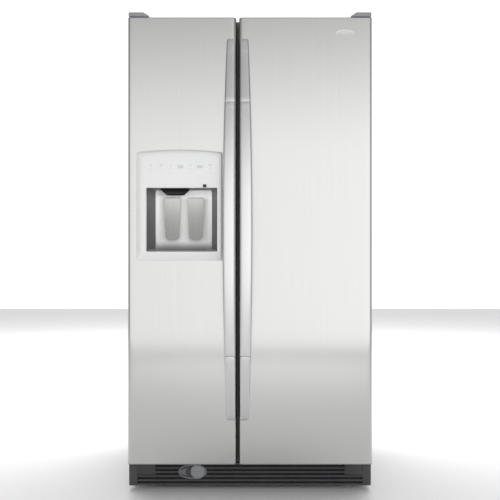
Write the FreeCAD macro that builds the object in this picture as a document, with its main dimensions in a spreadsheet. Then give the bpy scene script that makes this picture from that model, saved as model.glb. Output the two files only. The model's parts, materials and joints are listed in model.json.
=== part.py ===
"""A free-standing side by side refrigerator with a water and ice dispenser in its freezer door.

The row frame is in millimetres: +Z up, -Y towards the person in front of the doors, +X to that person's
right. The origin lies on the floor under the middle of the whole object.
"""

import FreeCAD, Part
import operator
import os
from types import SimpleNamespace

import Sketcher

Vector = FreeCAD.Vector

DIMENSIONS = {
    # Whole object.
    "overall_width": 908, "overall_depth": 850,
    # Cabinet: steel wrapper, foam and the two liners.
    "cabinet_width": 904, "cabinet_top": 1764, "cabinet_low": 26, "foam_low": 102,
    "steel": 1, "liner": 3, "flange": 2,
    "freezer_wall": 62, "fridge_wall": 50, "top_wall": 55, "back_wall": 60,
    "divider": 64, "divide_at": -45.5, "cavity_low": 150,
    "machine_depth": 235, "machine_high": 330, "machine_wall": 55,
    "ledge_out": 5, "ledge_high": 8, "step_overlap": 20, "panel_gap": 2,
    # Doors.
    "door_thick": 66, "seal_gap": 12, "door_low": 104, "door_high": 1760, "door_gap": 10,
    "corner_round": 14, "cap_lip": 3, "cap_deep": 25, "door_liner": 3,
    "dyke_deep": 66, "dyke_wide": 22, "dyke_in": 24, "dyke_low": 165, "dyke_high": 1695,
    "dyke_bar": 14, "dyke_bar_deep": 30, "window_margin": 9,
    "seal_thick": 11, "seal_wide": 21, "seal_in": 14, "seal_free_in": 6,
    # Handles: three pieces each, bowed outwards from the door.
    "handle_reach": 58, "handle_low": 270, "handle_high": 1677, "handle_edge": 3.5,
    "handle_end_width": 31, "handle_bow": 15, "handle_thick": 20, "handle_end_thick": 14,
    "grip_low": 510, "grip_high": 1440, "seam": 0.6,
    # Hinges.
    "hinge_in": 20, "hinge_back": 27, "pin_radius": 5, "pin_long": 18, "running_fit": 0.05,
    "hinge_plate": 3, "hinge_long": 120, "hinge_wide": 62,
    "cover_wide": 76, "cover_high": 17, "cover_long": 150, "cover_wall": 2,
    "cover_front": 22, "cover_end": 4, "cover_ramp": 20, "cover_hollow_in": 4, "cover_hollow_ramp": 23,
    "hinge_margin": 14, "pin_top": 6, "bracket_wide": 92, "bracket_plate": 4, "bracket_drop": 44,
    "bracket_leg": 68,
    "bracket_in": 8, "bracket_gap": 4, "bracket_leg_thick": 3, "bracket_leg_gap": 0.5, "bracket_back": 3,
    # Dispenser.
    "bezel_middle": -260.5, "bezel_width": 319, "bezel_low": 859, "bezel_high": 1260, "bezel_arch": 10,
    "bezel_thick": 14, "mouth_middle": -252, "mouth_width": 262, "mouth_low": 893, "mouth_high": 1128,
    "recess_deep": 95, "recess_draft": 26, "recess_rise": 12, "recess_wall": 3,
    "backplate": 3, "backplate_in": 4, "backplate_gap": 1,
    "ice_paddle_at": -292, "water_paddle_at": -204, "paddle_width": 64, "paddle_foot": 50,
    "paddle_high": 152, "paddle_thick": 6, "paddle_top": 1094, "paddle_back": 56,
    "paddle_sag": 6, "pivot_radius": 3, "pivot_back": 10, "shaft_in": 2, "lug_in": 6, "lug_thick": 4,
    "lug_drop": 6, "lug_high": 12, "arm_in": 14, "arm_high": 6,
    "chute_at": -282, "chute_width": 108, "chute_mouth": 64, "chute_low": 1106, "chute_shoulder": 1126,
    "chute_high": 1186, "chute_front": 10, "chute_deep": 64, "chute_wall": 8,
    "chute_roof": 6, "key_room": 3, "recess_start": 0.5,
    "key_width": 22, "key_high": 12, "key_out": 1.4, "key_deep": 8, "key_slack": 0.4, "key_level": 1205,
    "light_key_at": -167, "light_key_width": 14, "light_key_level": 1135,
    "lock_key_at": -185, "select_key_at": -256,
    "bulge_width": 288, "bulge_middle": -240, "bulge_low": 868, "bulge_high": 1292, "bulge_deep": 60,
    # Bins on the doors.
    "bin_wall": 2.5, "bin_deep": 92, "bin_shallow": 62, "bin_high": 92, "bin_slack": 1,
    "fridge_bin_low": 190, "fridge_bin_pitch": 290, "dairy_low": 1400, "dairy_high": 1545, "lid_thick": 4,
    "lid_gap": 1, "lid_drop": 8, "barrel_drop": 6,
    "freezer_bin_low": 190, "freezer_bin_pitch": 215, "upper_bin_low": 1330, "upper_bin_pitch": 180,
    # Shelves and drawers.
    "shelf_front": 139, "shelf_level": 390, "fridge_shelf_pitch": 250, "freezer_shelf_pitch": 240,
    "shelf_frame": 20, "shelf_thick": 16, "glass_thick": 4, "shelf_slack": 2, "wire_thick": 9, "wire_bar": 5,
    "rack_rim": 8, "rack_bars": 5,
    "drawer_wall": 3, "drawer_slack": 9, "drawer_gap": 6, "drawer_lip": 8, "ice_bin_high": 150,
    "lip_in": 20, "lip_drop": 14, "lip_top": 2, "drawer_lift": 2,
    "ice_maker_long": 240, "ice_maker_high": 120, "ice_maker_width": 120, "ice_maker_back": 4,
    "ice_tray_low": 30, "ice_tray_high": 80, "ice_tray_wall": 6, "ice_hanger_low": 40, "ice_hanger_thick": 6,
    "ice_hanger_long": 20, "ice_head_deep": 34, "ice_head_high": 100, "ice_wire": 2, "ice_wire_out": 14,
    "ice_wire_front": 20, "ice_wire_low": 6, "ice_pivot_out": 16, "ice_pivot_front": 18, "ice_pivot_long": 20,
    "control_high": 62, "control_deep": 110, "control_in": 14, "control_front": 5, "lamp_half": 50,
    "lamp_front": 25, "lamp_back": 80, "lamp_high": 30, "knob_radius": 17, "knob_deep": 16, "knob_apart": 110,
    "knob_front": 6, "knob_grip": 4, "knob_grip_half": 3, "spindle_radius": 3, "spindle_out": 15,
    "spindle_long": 20,
    "knob_bore_start": 10.5, "knob_bore_deep": 12,
    # Base, rollers and levelling legs.
    "base_in": 3, "base_back": 4, "rail_wide": 26, "rail_wall": 3, "rail_low": 28, "rail_high": 96,
    "front_rail_high": 8, "front_rail_deep": 28, "tie_deep": 10, "hanger_in": 6, "hanger_thick": 3,
    "hanger_half": 12, "hanger_drop": 8, "cheek_lap": 2, "wheel_room": 3, "wheel_gap": 1, "tyre_round": 2,
    "pan": 2, "pan_low": 40, "roller_radius": 22, "roller_wide": 18, "roller_at": 408,
    "front_roller_at": -235,
    "rear_roller_at": 385, "axle_radius": 4, "leg_at": 368, "leg_radius": 5, "foot_radius": 14,
    "foot_high": 8, "leg_high": 62,
    # Grille and water filter.
    "grille_low": 14, "grille_high": 98, "grille_front": 326, "grille_deep": 26, "slot_high": 7,
    "slot_pitch": 16, "slot_first": 21, "slot_margin": 34, "slots": 5, "slot_floor": 8, "ring_out": 3,
    "cap_ring": 6, "eject_ring": 8, "eject_slack": 0.6, "notch_gap": 1.5, "plate_notch": 10,
    "filter_at": -196, "filter_level": 66, "filter_radius": 23, "filter_long": 262, "cap_radius": 27,
    "cap_long": 22, "cap_ridge": 6, "ring_slack": 1.2, "eject_at": -246, "eject_width": 34, "eject_high": 30,
    "tube_wall": 3, "tube_slack": 0.5,
    "tube_end": 14, "tube_floor": 6, "tube_start": 2, "stem_radius": 8, "stem_long": 8, "cap_neck": 8,
    "cap_lap": 6,
    "ridge_in": 3, "ridge_out": 4, "socket_deep": 9, "eject_hollow": 6, "eject_tip": 2, "eject_deep": 24,
    # Machine compartment.
    "compressor_at": 215, "compressor_radius": 78, "compressor_high": 150, "machine_middle": 310,
    "compressor_lift": 12, "mount_radius": 11, "mount_long": 30, "mount_across": 62, "mount_deep": 46,
    "coil_left": -362, "coil_right": -165, "coil_deep": 150, "coil_low": 52, "coil_high": 180, "coil_tube": 4,
    "coil_rows": 6, "fan_at": -90, "fan_radius": 62, "fan_level": 125, "fan_blades": 5, "motor_radius": 24,
    "coil_plate": 2, "plate_lap": 10, "shroud_half": 4, "shroud_lap": 14, "shroud_top": 12, "throat_gap": 3,
    "motor_long": 46, "motor_end": 8, "shaft_radius": 2, "shaft_end": 8, "motor_arm_near": 14,
    "motor_arm_far": 8,
    "motor_arm_half": 4, "motor_arm_lap": 4, "arm_foot_lap": 2, "arm_foot_high": 6, "arm_foot_top": 5,
    "tie_high": 20,
    "fan_hub": 11, "fan_hub_long": 12, "blade_thick": 3, "blade_start": 4,
    "cover_in": 12, "cover_rise": 6, "cover_slots": 9, "cover_slot_pitch": 18, "cover_slot_low": 125,
    "cover_slot_high": 133, "cover_slot_left": 105, "cover_slot_right": 305, "hatch_radius": 26.4,
    "valve_at": -400, "valve_level": 150, "valve_width": 44, "nipple_radius": 8, "nipple_long": 24,
    "valve_deep": 40, "valve_half_high": 17.6, "valve_coil": 15, "valve_coil_at": 22, "valve_coil_long": 34,
    "valve_stand_half": 8, "valve_stand_far": 30, "valve_stand_near": 26, "passage_long": 40,
    "gland_at": 405, "gland_level": 70, "gland_radius": 5.5, "gland_wall": 4, "gland_long": 12,
}

# Cutting tools run this far past the faces that they open, and long ones pass wholly through a piece.
OVER = 1
THROUGH = 60
# The compressor's dome, as shares of its radius and height.
DOME = ((0.8, 0), (1, 0.18), (1, 0.62), (0.72, 0.9), (0, 1))
# A fan blade's corners at the hub, and at its tip, where the second number is how far a corner stops short of
# the fan's radius.
BLADE_FOOT = ((-6, 8), (6, 8))
BLADE_TIP = ((16, 2), (-14, 4))


class Size:
    """A length that carries its value and the sheet expression that it came from."""

    def __init__(self, value, text):
        self.value = float(value)
        self.text = text

    def _with(self, other, sign, turned=False):
        other = other if isinstance(other, Size) else Size(other, repr(float(other)))
        first, second = (other, self) if turned else (self, other)
        result = {"+": operator.add, "-": operator.sub, "*": operator.mul, "/": operator.truediv}[sign]
        return Size(result(first.value, second.value), f"({first.text} {sign} {second.text})")

    def __add__(self, other):
        return self._with(other, "+")

    def __radd__(self, other):
        return self._with(other, "+", True)

    def __sub__(self, other):
        return self._with(other, "-")

    def __rsub__(self, other):
        return self._with(other, "-", True)

    def __mul__(self, other):
        return self._with(other, "*")

    def __rmul__(self, other):
        return self._with(other, "*", True)

    def __truediv__(self, other):
        return self._with(other, "/")

    def __neg__(self):
        return self._with(-1, "*")


doc = FreeCAD.newDocument("side_by_side_refrigerator")
sheet = doc.addObject("Spreadsheet::Sheet", "dims")
for row, (alias, amount) in enumerate(DIMENSIONS.items(), start=1):
    sheet.set(f"A{row}", alias)
    sheet.set(f"B{row}", str(amount))
    sheet.setAlias(f"B{row}", alias)
doc.recompute()
d = SimpleNamespace(**{alias: Size(amount, "dims." + alias) for alias, amount in DIMENSIONS.items()})
subparts = []

# Planes that most of the pieces share.
rear = d.overall_depth / 2
door_front = d.handle_reach - rear
door_back = door_front + d.door_thick
cabinet_front = door_back + d.seal_gap
side = d.cabinet_width / 2
freezer_left = d.freezer_wall - side
freezer_right = d.divide_at - d.divider / 2
fridge_left = d.divide_at + d.divider / 2
fridge_right = side - d.fridge_wall
cavity_top = d.cabinet_top - d.top_wall
cavity_back = rear - d.back_wall
machine_front = rear - d.machine_depth
step_back = machine_front - d.machine_wall
step_high = d.machine_high + d.machine_wall
hinge_x = d.overall_width / 2 - d.hinge_in
hinge_y = door_front + d.hinge_back
shelf_front = cabinet_front + d.shelf_front
recess_back = door_front + d.recess_deep
bracket_left = d.bracket_in - d.overall_width / 2

FREEZER = SimpleNamespace(
    name="freezer", left=-(d.overall_width / 2), right=d.divide_at - d.door_gap / 2, hinge=-hinge_x,
    cavity_left=freezer_left, cavity_right=freezer_right, free_side=1,
)
FRIDGE = SimpleNamespace(
    name="fridge", left=d.divide_at + d.door_gap / 2, right=d.overall_width / 2, hinge=hinge_x,
    cavity_left=fridge_left, cavity_right=fridge_right, free_side=-1,
)


def number(size):
    return size.value if isinstance(size, Size) else float(size)


def bind(thing, name, size):
    """Ties a property to the sheet."""
    thing.setExpression(name, size.text if isinstance(size, Size) else repr(float(size)))


def subpart(thing, label):
    """Names a finished piece, which is then written to its own file."""
    thing.Label = label
    subparts.append(thing)
    return thing


# Primitives and booleans.

def block(name, low, high):
    """A box between two corners."""
    box = doc.addObject("Part::Box", name)
    for length, axis, start, end in zip(("Length", "Width", "Height"), "xyz", low, high):
        bind(box, length, end - start)
        bind(box, f"Placement.Base.{axis}", start)
    return box


AXIS_TURNS = {
    "x": FreeCAD.Rotation(Vector(0, 1, 0), 90),
    "y": FreeCAD.Rotation(Vector(1, 0, 0), -90),
    "z": FreeCAD.Rotation(),
}


def rod(name, radius, start, length, along="z"):
    """A cylinder from start, running the positive way along an axis."""
    cylinder = doc.addObject("Part::Cylinder", name)
    bind(cylinder, "Radius", radius)
    bind(cylinder, "Height", length)
    cylinder.Placement = FreeCAD.Placement(Vector(), AXIS_TURNS[along])
    for axis, place in zip("xyz", start):
        bind(cylinder, f"Placement.Base.{axis}", place)
    return cylinder


def funnel(name, near, far, near_low, near_high, far_low, far_high):
    """A block whose section in X and Z changes evenly from the plane y = near to y = far."""
    wedge = doc.addObject("Part::Wedge", name)
    for key, size in {
        "Ymin": near, "Ymax": far,
        "Xmin": near_low[0], "Xmax": near_high[0], "Zmin": near_low[1], "Zmax": near_high[1],
        "X2min": far_low[0], "X2max": far_high[0], "Z2min": far_low[1], "Z2max": far_high[1],
    }.items():
        bind(wedge, key, size)
    return wedge


def fuse(name, *solids):
    joined = doc.addObject("Part::MultiFuse", name)
    joined.Shapes = list(solids)
    joined.Refine = True
    return joined


def cut(name, base, *tools):
    rest = doc.addObject("Part::Cut", name)
    rest.Base = base
    rest.Tool = tools[0] if len(tools) == 1 else fuse(name + "_tools", *tools)
    return rest


def common(name, first, second):
    shared = doc.addObject("Part::MultiCommon", name)
    shared.Shapes = [first, second]
    return shared


def group(name, *solids):
    gathered = doc.addObject("Part::Compound", name)
    gathered.Links = list(solids)
    return gathered


def mirrored(name, source):
    """The same piece on the other side of the plane x = 0."""
    copy = doc.addObject("Part::Mirroring", name)
    copy.Source = source
    copy.Normal = Vector(1, 0, 0)
    return copy


# Part Design features.

def new_body(name):
    return doc.addObject("PartDesign::Body", name)


def new_sketch(body, name, plane, offset):
    drawn = body.newObject("Sketcher::SketchObject", name)
    base = next(feature for feature in body.Origin.OriginFeatures if feature.Role == plane)
    drawn.AttachmentSupport = [(base, "")]
    drawn.MapMode = "FlatFace"
    bind(drawn, "AttachmentOffset.Base.z", offset)
    return drawn


def constrain(drawn, label, size, *constraint):
    index = drawn.addConstraint(Sketcher.Constraint(*constraint, number(size)))
    drawn.renameConstraint(index, label)
    bind(drawn, "Constraints." + label, size)


def outline(body, name, plane, corners, offset=0, bulges=None):
    """A closed outline through corners. bulges gives a side (chord, sagitta), which then arcs to the left,
    or to the right where the sagitta is negative."""
    drawn = new_sketch(body, name, plane, offset)
    bulges = bulges or {}
    points = [Vector(number(across), number(up), 0) for across, up in corners]
    ends = []
    for side_number, (start, end) in enumerate(zip(points, points[1:] + points[:1])):
        if side_number not in bulges:
            drawn.addGeometry(Part.LineSegment(start, end), False)
            ends.append((1, 2))
            continue
        rise = number(bulges[side_number][1])
        run = end - start
        middle = (start + end) * 0.5 + Vector(-run.y, run.x, 0).normalize() * rise
        if rise > 0:
            drawn.addGeometry(Part.Arc(end, middle, start), False)
            ends.append((2, 1))
        else:
            drawn.addGeometry(Part.Arc(start, middle, end), False)
            ends.append((1, 2))
    for this, (first, last) in enumerate(ends):
        following = (this + 1) % len(ends)
        drawn.addConstraint(Sketcher.Constraint("Coincident", this, last, following, ends[following][0]))
        constrain(drawn, f"across_{this}", corners[this][0], "DistanceX", -1, 1, this, first)
        constrain(drawn, f"up_{this}", corners[this][1], "DistanceY", -1, 1, this, first)
    for this, (chord, sagitta) in bulges.items():
        flat = sagitta if number(sagitta) > 0 else -sagitta
        constrain(drawn, f"radius_{this}", (chord * chord / 4 + flat * flat) / (2 * flat), "Radius", this)
    return drawn


def rectangle(body, name, plane, low, high, offset=0):
    corners = [(low[0], low[1]), (high[0], low[1]), (high[0], high[1]), (low[0], high[1])]
    return outline(body, name, plane, corners, offset)


def circle(body, name, plane, centre, radius, offset=0):
    drawn = new_sketch(body, name, plane, offset)
    middle = Vector(number(centre[0]), number(centre[1]), 0)
    drawn.addGeometry(Part.Circle(middle, Vector(0, 0, 1), number(radius)), False)
    constrain(drawn, "across", centre[0], "DistanceX", -1, 1, 0, 3)
    constrain(drawn, "up", centre[1], "DistanceY", -1, 1, 0, 3)
    constrain(drawn, "round", radius, "Radius", 0)
    return drawn


def feature(body, kind, drawn, length, reverse=False):
    """A Pad or a Pocket of one sketch. A pad grows along the sketch's normal and a pocket cuts against it."""
    made = body.newObject("PartDesign::" + kind, f"{drawn.Name}_{kind.lower()}")
    made.Profile = drawn
    made.Reversed = reverse
    bind(made, "Length", length)
    return made


def revolve(body, drawn, axis="H_Axis"):
    turned = body.newObject("PartDesign::Revolution", drawn.Name + "_revolution")
    turned.Profile = drawn
    turned.ReferenceAxis = (drawn, [axis])
    turned.Angle = 360
    return turned


def round_edges(body, radius, chosen):
    """Fillets the edges of the body's tip that chosen(middle, direction) picks."""
    doc.recompute()
    sharp = body.Tip
    names = []
    for index, edge in enumerate(sharp.Shape.Edges, start=1):
        start, end = edge.Vertexes[0].Point, edge.Vertexes[-1].Point
        if (end - start).Length > 1e-6 and chosen((start + end) * 0.5, (end - start).normalize()):
            names.append(f"Edge{index}")
    filleted = body.newObject("PartDesign::Fillet", body.Name + "_fillet")
    filleted.Base = (sharp, names)
    bind(filleted, "Radius", radius)
    return filleted


def repeat(body, done, kind, **settings):
    """A LinearPattern or PolarPattern of one feature, made the body's tip."""
    pattern = body.newObject("PartDesign::" + kind, f"{done.Name}_{kind.lower()}")
    pattern.Originals = [done]
    for key, setting in settings.items():
        setattr(pattern, key, setting)
    body.Tip = pattern
    return pattern


def tub(name, low, high, wall, floor):
    """An open-topped box."""
    body = new_body(name)
    feature(body, "Pad", rectangle(body, name + "_outside", "XY_Plane", low, high, low[2]), high[2] - low[2])
    inside_low = (low[0] + wall, low[1] + wall)
    inside_high = (high[0] - wall, high[1] - wall)
    inside = rectangle(body, name + "_inside", "XY_Plane", inside_low, inside_high, high[2])
    feature(body, "Pocket", inside, high[2] - low[2] - floor)
    return body


# Cabinet.

def cabinet_wrapper():
    outside = block("wrapper_outside", (-side, cabinet_front, d.cabinet_low), (side, rear, d.cabinet_top))
    inside = block(
        "wrapper_inside", (d.steel - side, cabinet_front - OVER, d.cabinet_low - OVER),
        (side - d.steel, rear + OVER, d.cabinet_top - d.steel),
    )
    subpart(cut("wrapper", outside, inside), "cabinet_wrapper")


def tub_space(name, left, right, grow, front):
    """The L-shaped space of one compartment, whose floor steps up over the machine compartment."""
    upper = block(
        name + "_upper", (left - grow, front, step_high - grow),
        (right + grow, cavity_back + grow, cavity_top + grow),
    )
    lower = block(
        name + "_lower", (left - grow, front, d.cavity_low - grow),
        (right + grow, step_back + grow, step_high + d.step_overlap),
    )
    return fuse(name, upper, lower)


def shelf_levels(door):
    pitch = d.fridge_shelf_pitch if door is FRIDGE else d.freezer_shelf_pitch
    return [d.shelf_level + pitch * step for step in range(5)]


def liner(door, flange_left, flange_right):
    """A compartment's plastic tub with its front flange and a ledge for each shelf."""
    name = door.name
    left, right = door.cavity_left, door.cavity_right
    tub_outside = tub_space(name + "_tub", left, right, d.liner, cabinet_front)
    flange = block(
        name + "_flange", (flange_left, cabinet_front, d.foam_low),
        (flange_right, cabinet_front + d.flange, d.cabinet_top - d.steel),
    )
    hollow = tub_space(name + "_hollow", left, right, 0, cabinet_front - OVER)
    shell = cut(name + "_shell", fuse(name + "_solid", tub_outside, flange), hollow)
    thick = d.shelf_thick if door is FRIDGE else d.wire_thick
    ledges = []
    for count, level in enumerate(shelf_levels(door)):
        low, high = level - thick - d.ledge_high, level - thick
        back = step_back if count == 0 else cavity_back
        for word, start, end in (("left", left, left + d.ledge_out), ("right", right - d.ledge_out, right)):
            ledges.append(block(f"{name}_ledge_{word}_{count}", (start, shelf_front, low), (end, back, high)))
    subpart(fuse(name + "_lined", shell, *ledges), name + "_liner")
    return tub_outside


def cabinet_foam(tubs):
    outside = block(
        "foam_outside", (d.steel - side, cabinet_front + d.flange, d.foam_low),
        (side - d.steel, rear - d.steel, d.cabinet_top - d.steel),
    )
    machine = block(
        "machine_space", (-side, machine_front, d.foam_low - OVER), (side, rear, d.machine_high)
    )
    subpart(cut("foam", outside, machine, *tubs), "cabinet_foam")


def cabinet_panels():
    rail = block(
        "rail", (freezer_right - d.liner, cabinet_front, d.foam_low),
        (fridge_left + d.liner, cabinet_front + d.flange, d.cabinet_top - d.steel),
    )
    tubs_apart = block(
        "rail_window", (freezer_right + d.liner, cabinet_front - OVER, d.foam_low - OVER),
        (fridge_left - d.liner, cabinet_front + d.flange + OVER, d.cabinet_top),
    )
    subpart(common("rail_between", rail, tubs_apart), "mullion_rail")
    panel = block(
        "panel", (d.steel - side, rear - d.steel, d.machine_high + d.panel_gap),
        (side - d.steel, rear, d.cabinet_top - d.steel),
    )
    subpart(panel, "rear_panel")


def machine_cover():
    """The slotted lower back cover, with the collar that the power cord comes out of."""
    body = new_body("cover_plate")
    edge = side - d.cover_in
    plate_back = rear - d.steel
    low, high = (-edge, d.pan_low + d.cover_rise), (edge, d.machine_high)
    feature(body, "Pad", rectangle(body, "cover_face", "XZ_Plane", low, high, -plate_back), d.pan)
    slot = rectangle(
        body, "cover_slot", "XZ_Plane", (d.cover_slot_left, d.cover_slot_low),
        (d.cover_slot_right, d.cover_slot_high), -plate_back,
    )
    slots = feature(body, "Pocket", slot, 2 * d.pan, reverse=True)
    slots.Midplane = True
    z_axis = next(feature_ for feature_ in body.Origin.OriginFeatures if feature_.Role == "Z_Axis")
    pattern = repeat(body, slots, "LinearPattern", Direction=(z_axis, [""]))
    bind(pattern, "Length", d.cover_slot_pitch * (d.cover_slots - 1))
    bind(pattern, "Occurrences", d.cover_slots)
    collar = rod(
        "collar", d.gland_radius + d.gland_wall, (d.gland_at, rear - d.gland_long, d.gland_level),
        d.gland_long, "y",
    )
    start = rear - THROUGH
    bore = rod("collar_bore", d.gland_radius, (d.gland_at, start, d.gland_level), 2 * THROUGH, "y")
    hatch = rod("valve_hatch", d.hatch_radius, (d.valve_at, start, d.valve_level), 2 * THROUGH, "y")
    subpart(cut("cover_done", fuse("cover_collared", body, collar), bore, hatch), "machine_cover")


def base_frame():
    """Side rails, the front rail, the rear pan and the four roller axles."""
    inner = side - d.steel
    front = cabinet_front + d.base_in
    back = rear - d.base_back
    pan_top = d.pan_low + d.pan
    thick = d.hanger_thick / 2
    half_wheel = d.roller_wide / 2
    hanger_at = d.roller_at - half_wheel - d.hanger_in
    cheek_at = inner - thick
    pieces = []
    # Each side rail is a channel that opens inwards.
    for word, start, end, open_start, open_end in (
        ("left", -inner, d.rail_wide - inner, d.rail_wall, OVER),
        ("right", inner - d.rail_wide, inner, -OVER, -d.rail_wall),
    ):
        bar = block(f"rail_bar_{word}", (start, front, d.rail_low), (end, back, d.rail_high))
        groove = block(
            f"rail_groove_{word}", (start + open_start, front - OVER, d.rail_low + d.rail_wall),
            (end + open_end, rear, d.rail_high - d.rail_wall),
        )
        pieces.append(cut(f"rail_{word}", bar, groove))
    rail_back = front + d.front_rail_deep
    rail_top = d.rail_low + d.front_rail_high
    pieces.append(block("front_rail", (-inner, front, d.rail_low), (inner, rail_back, rail_top)))
    pieces.append(block("rear_pan", (-inner, machine_front, d.pan_low), (inner, back, pan_top)))
    holes = []
    axles = []
    for word, sign in (("left", -1), ("right", 1)):
        hanger, cheek, middle = hanger_at * sign, cheek_at * sign, d.roller_at * sign
        pieces.append(
            block(f"bridge_{word}", (hanger - thick, front, d.pan_low), (hanger + thick, back, pan_top))
        )
        for row, place in (("front", d.front_roller_at), ("rear", d.rear_roller_at)):
            axles.append(rod(
                f"axle_{row}_{word}", d.axle_radius,
                (hanger_at if sign > 0 else -inner, place, d.roller_radius),
                inner - hanger_at, "x",
            ))
            low, near, far = d.roller_radius - d.hanger_drop, place - d.hanger_half, place + d.hanger_half
            pieces.append(
                block(f"hanger_{row}_{word}", (hanger - thick, near, low), (hanger + thick, far, pan_top))
            )
            pieces.append(block(
                f"cheek_{row}_{word}", (cheek - thick, near, low), (
                    cheek + thick, far, d.rail_low + d.cheek_lap
                )
            ))
            room = d.roller_radius + d.wheel_room
            holes.append(block(
                f"room_{row}_{word}", (middle - half_wheel - d.wheel_gap, place - room, 0),
                (middle + half_wheel + d.wheel_gap, place + room, d.roller_radius + room),
            ))
    pieces.append(
        block("front_tie", (-inner, rail_back, d.pan_low), (inner, rail_back + d.tie_deep, pan_top))
    )
    bores = [
        rod(
            f"leg_bore_{word}", d.leg_radius + d.running_fit,
            (d.leg_at * sign, front + d.front_rail_deep / 2, 0), THROUGH,
        )
        for word, sign in (("left", -1), ("right", 1))
    ]
    filter_room = rod(
        "filter_room", d.filter_radius + d.tube_wall + 2 * d.tube_slack,
        (d.filter_at, front - OVER, d.filter_level), d.filter_long, "y",
    )
    bare = cut("frame_cut", fuse("frame_pieces", *pieces, *axles), *bores, filter_room, *holes)
    subpart(fuse("frame_axled", bare, *axles), "base_frame")


def rollers(place, label):
    """Two wheels that turn on one line."""
    wheels = []
    for word, sign in (("left", -1), ("right", 1)):
        body = new_body(f"{label}_{word}")
        half, radius = d.roller_wide / 2, d.roller_radius
        bore = d.axle_radius + d.running_fit
        soft = d.tyre_round
        section = [
            (-half, bore), (half, bore), (half, radius - soft), (half - soft, radius), (soft - half, radius),
            (-half, radius - soft),
        ]
        revolve(body, outline(body, f"{label}_{word}_section", "XZ_Plane", section))
        bind(body, "Placement.Base.x", d.roller_at * sign)
        bind(body, "Placement.Base.y", place)
        bind(body, "Placement.Base.z", d.roller_radius)
        wheels.append(body)
    subpart(group(label + "_pair", *wheels), label)


def levelling_legs():
    for word, sign in (("left", -1), ("right", 1)):
        label = f"{word}_leveling_leg"
        body = new_body(label + "_turned")
        section = [(0, 0), (d.foot_radius, 0), (d.foot_radius, d.foot_high), (d.leg_radius, d.foot_high),
                   (d.leg_radius, d.leg_high), (0, d.leg_high)]
        revolve(body, outline(body, label + "_section", "XZ_Plane", section), "V_Axis")
        bind(body, "Placement.Base.x", d.leg_at * sign)
        bind(body, "Placement.Base.y", cabinet_front + d.base_in + d.front_rail_deep / 2)
        subpart(body, label)


# Machine compartment.

def compressor():
    body = new_body("compressor_shell")
    radius, high = d.compressor_radius, d.compressor_high
    section = [(0, 0)] + [(radius * across, high * up) for across, up in DOME]
    revolve(body, outline(body, "compressor_section", "XZ_Plane", section), "V_Axis")
    bind(body, "Placement.Base.x", d.compressor_at)
    bind(body, "Placement.Base.y", d.machine_middle)
    bind(body, "Placement.Base.z", d.pan_low + d.pan + d.compressor_lift)
    feet = [
        rod(
            f"compressor_foot_{index}", d.mount_radius,
            (
                d.compressor_at + d.mount_across * across, d.machine_middle + d.mount_deep * deep,
                d.pan_low + d.pan,
            ),
            d.mount_long,
        )
        for index, (across, deep) in enumerate(((-1, -1), (1, -1), (-1, 1), (1, 1)))
    ]
    subpart(fuse("compressor_on_feet", body, *feet), "compressor")


def condenser():
    """A serpentine tube block with its fan's shroud and motor."""
    pieces = []
    low_y = d.machine_middle - d.coil_deep / 2
    high_y = d.machine_middle + d.coil_deep / 2
    rows = DIMENSIONS["coil_rows"]
    step = (d.coil_high - d.coil_low) / (rows - 1)
    for row_number in range(rows):
        level = d.coil_low + step * row_number
        for column, deep in enumerate((low_y, d.machine_middle, high_y)):
            pieces.append(rod(
                f"coil_{row_number}_{column}", d.coil_tube, (d.coil_left, deep, level),
                d.coil_right - d.coil_left, "x",
            ))
    pan_top = d.pan_low + d.pan
    thick = d.coil_plate
    for count, across in enumerate((d.coil_left, d.coil_right - thick)):
        pieces.append(block(
            f"coil_plate_{count}", (across, low_y - d.plate_lap, pan_top),
            (across + thick, high_y + d.plate_lap, d.coil_high + d.plate_lap),
        ))
    shroud_top = d.fan_level + d.fan_radius + d.shroud_top
    shroud = block(
        "shroud", (d.fan_at - d.shroud_half, low_y - d.shroud_lap, pan_top),
        (d.fan_at + d.shroud_half, high_y + d.shroud_lap, shroud_top),
    )
    hub_height = (d.machine_middle, d.fan_level)
    throat = rod("throat", d.fan_radius + d.throat_gap, (d.fan_at - THROUGH / 2, *hub_height), THROUGH, "x")
    back = d.fan_at - d.shroud_half
    motor_start = back - d.motor_long
    motor = rod("fan_motor", d.motor_radius, (motor_start, *hub_height), d.motor_long - d.motor_end, "x")
    shaft = rod("fan_shaft", d.shaft_radius, (motor_start, *hub_height), d.motor_long + d.shaft_end, "x")
    near, far = back - d.motor_arm_near, back - d.motor_arm_far
    left_y, right_y = d.machine_middle - d.motor_arm_half, d.machine_middle + d.motor_arm_half
    arms = [
        block(f"motor_arm_{count}", (near, left_y, start), (far, right_y, end))
        for count, (start, end) in enumerate((
            (pan_top, d.fan_level - d.motor_radius + d.motor_arm_lap),
            (d.fan_level + d.motor_radius - d.motor_arm_lap, shroud_top),
        ))
    ]
    stands = [
        block(
            f"arm_foot_{count}", (near, left_y, level), (
                back + d.arm_foot_lap, right_y, level + d.arm_foot_high
            )
        )
        for count, level in enumerate((pan_top, d.fan_level + d.fan_radius + d.arm_foot_top))
    ]
    tie = block(
        "coil_tie", (d.coil_right - thick, low_y - d.shroud_lap, pan_top),
        (d.fan_at, low_y - d.plate_lap, pan_top + d.tie_high),
    )
    ring = cut("shroud_ring", shroud, throat)
    subpart(fuse("condenser_unit", *pieces, ring, motor, shaft, *arms, *stands, tie), "condenser")


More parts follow.
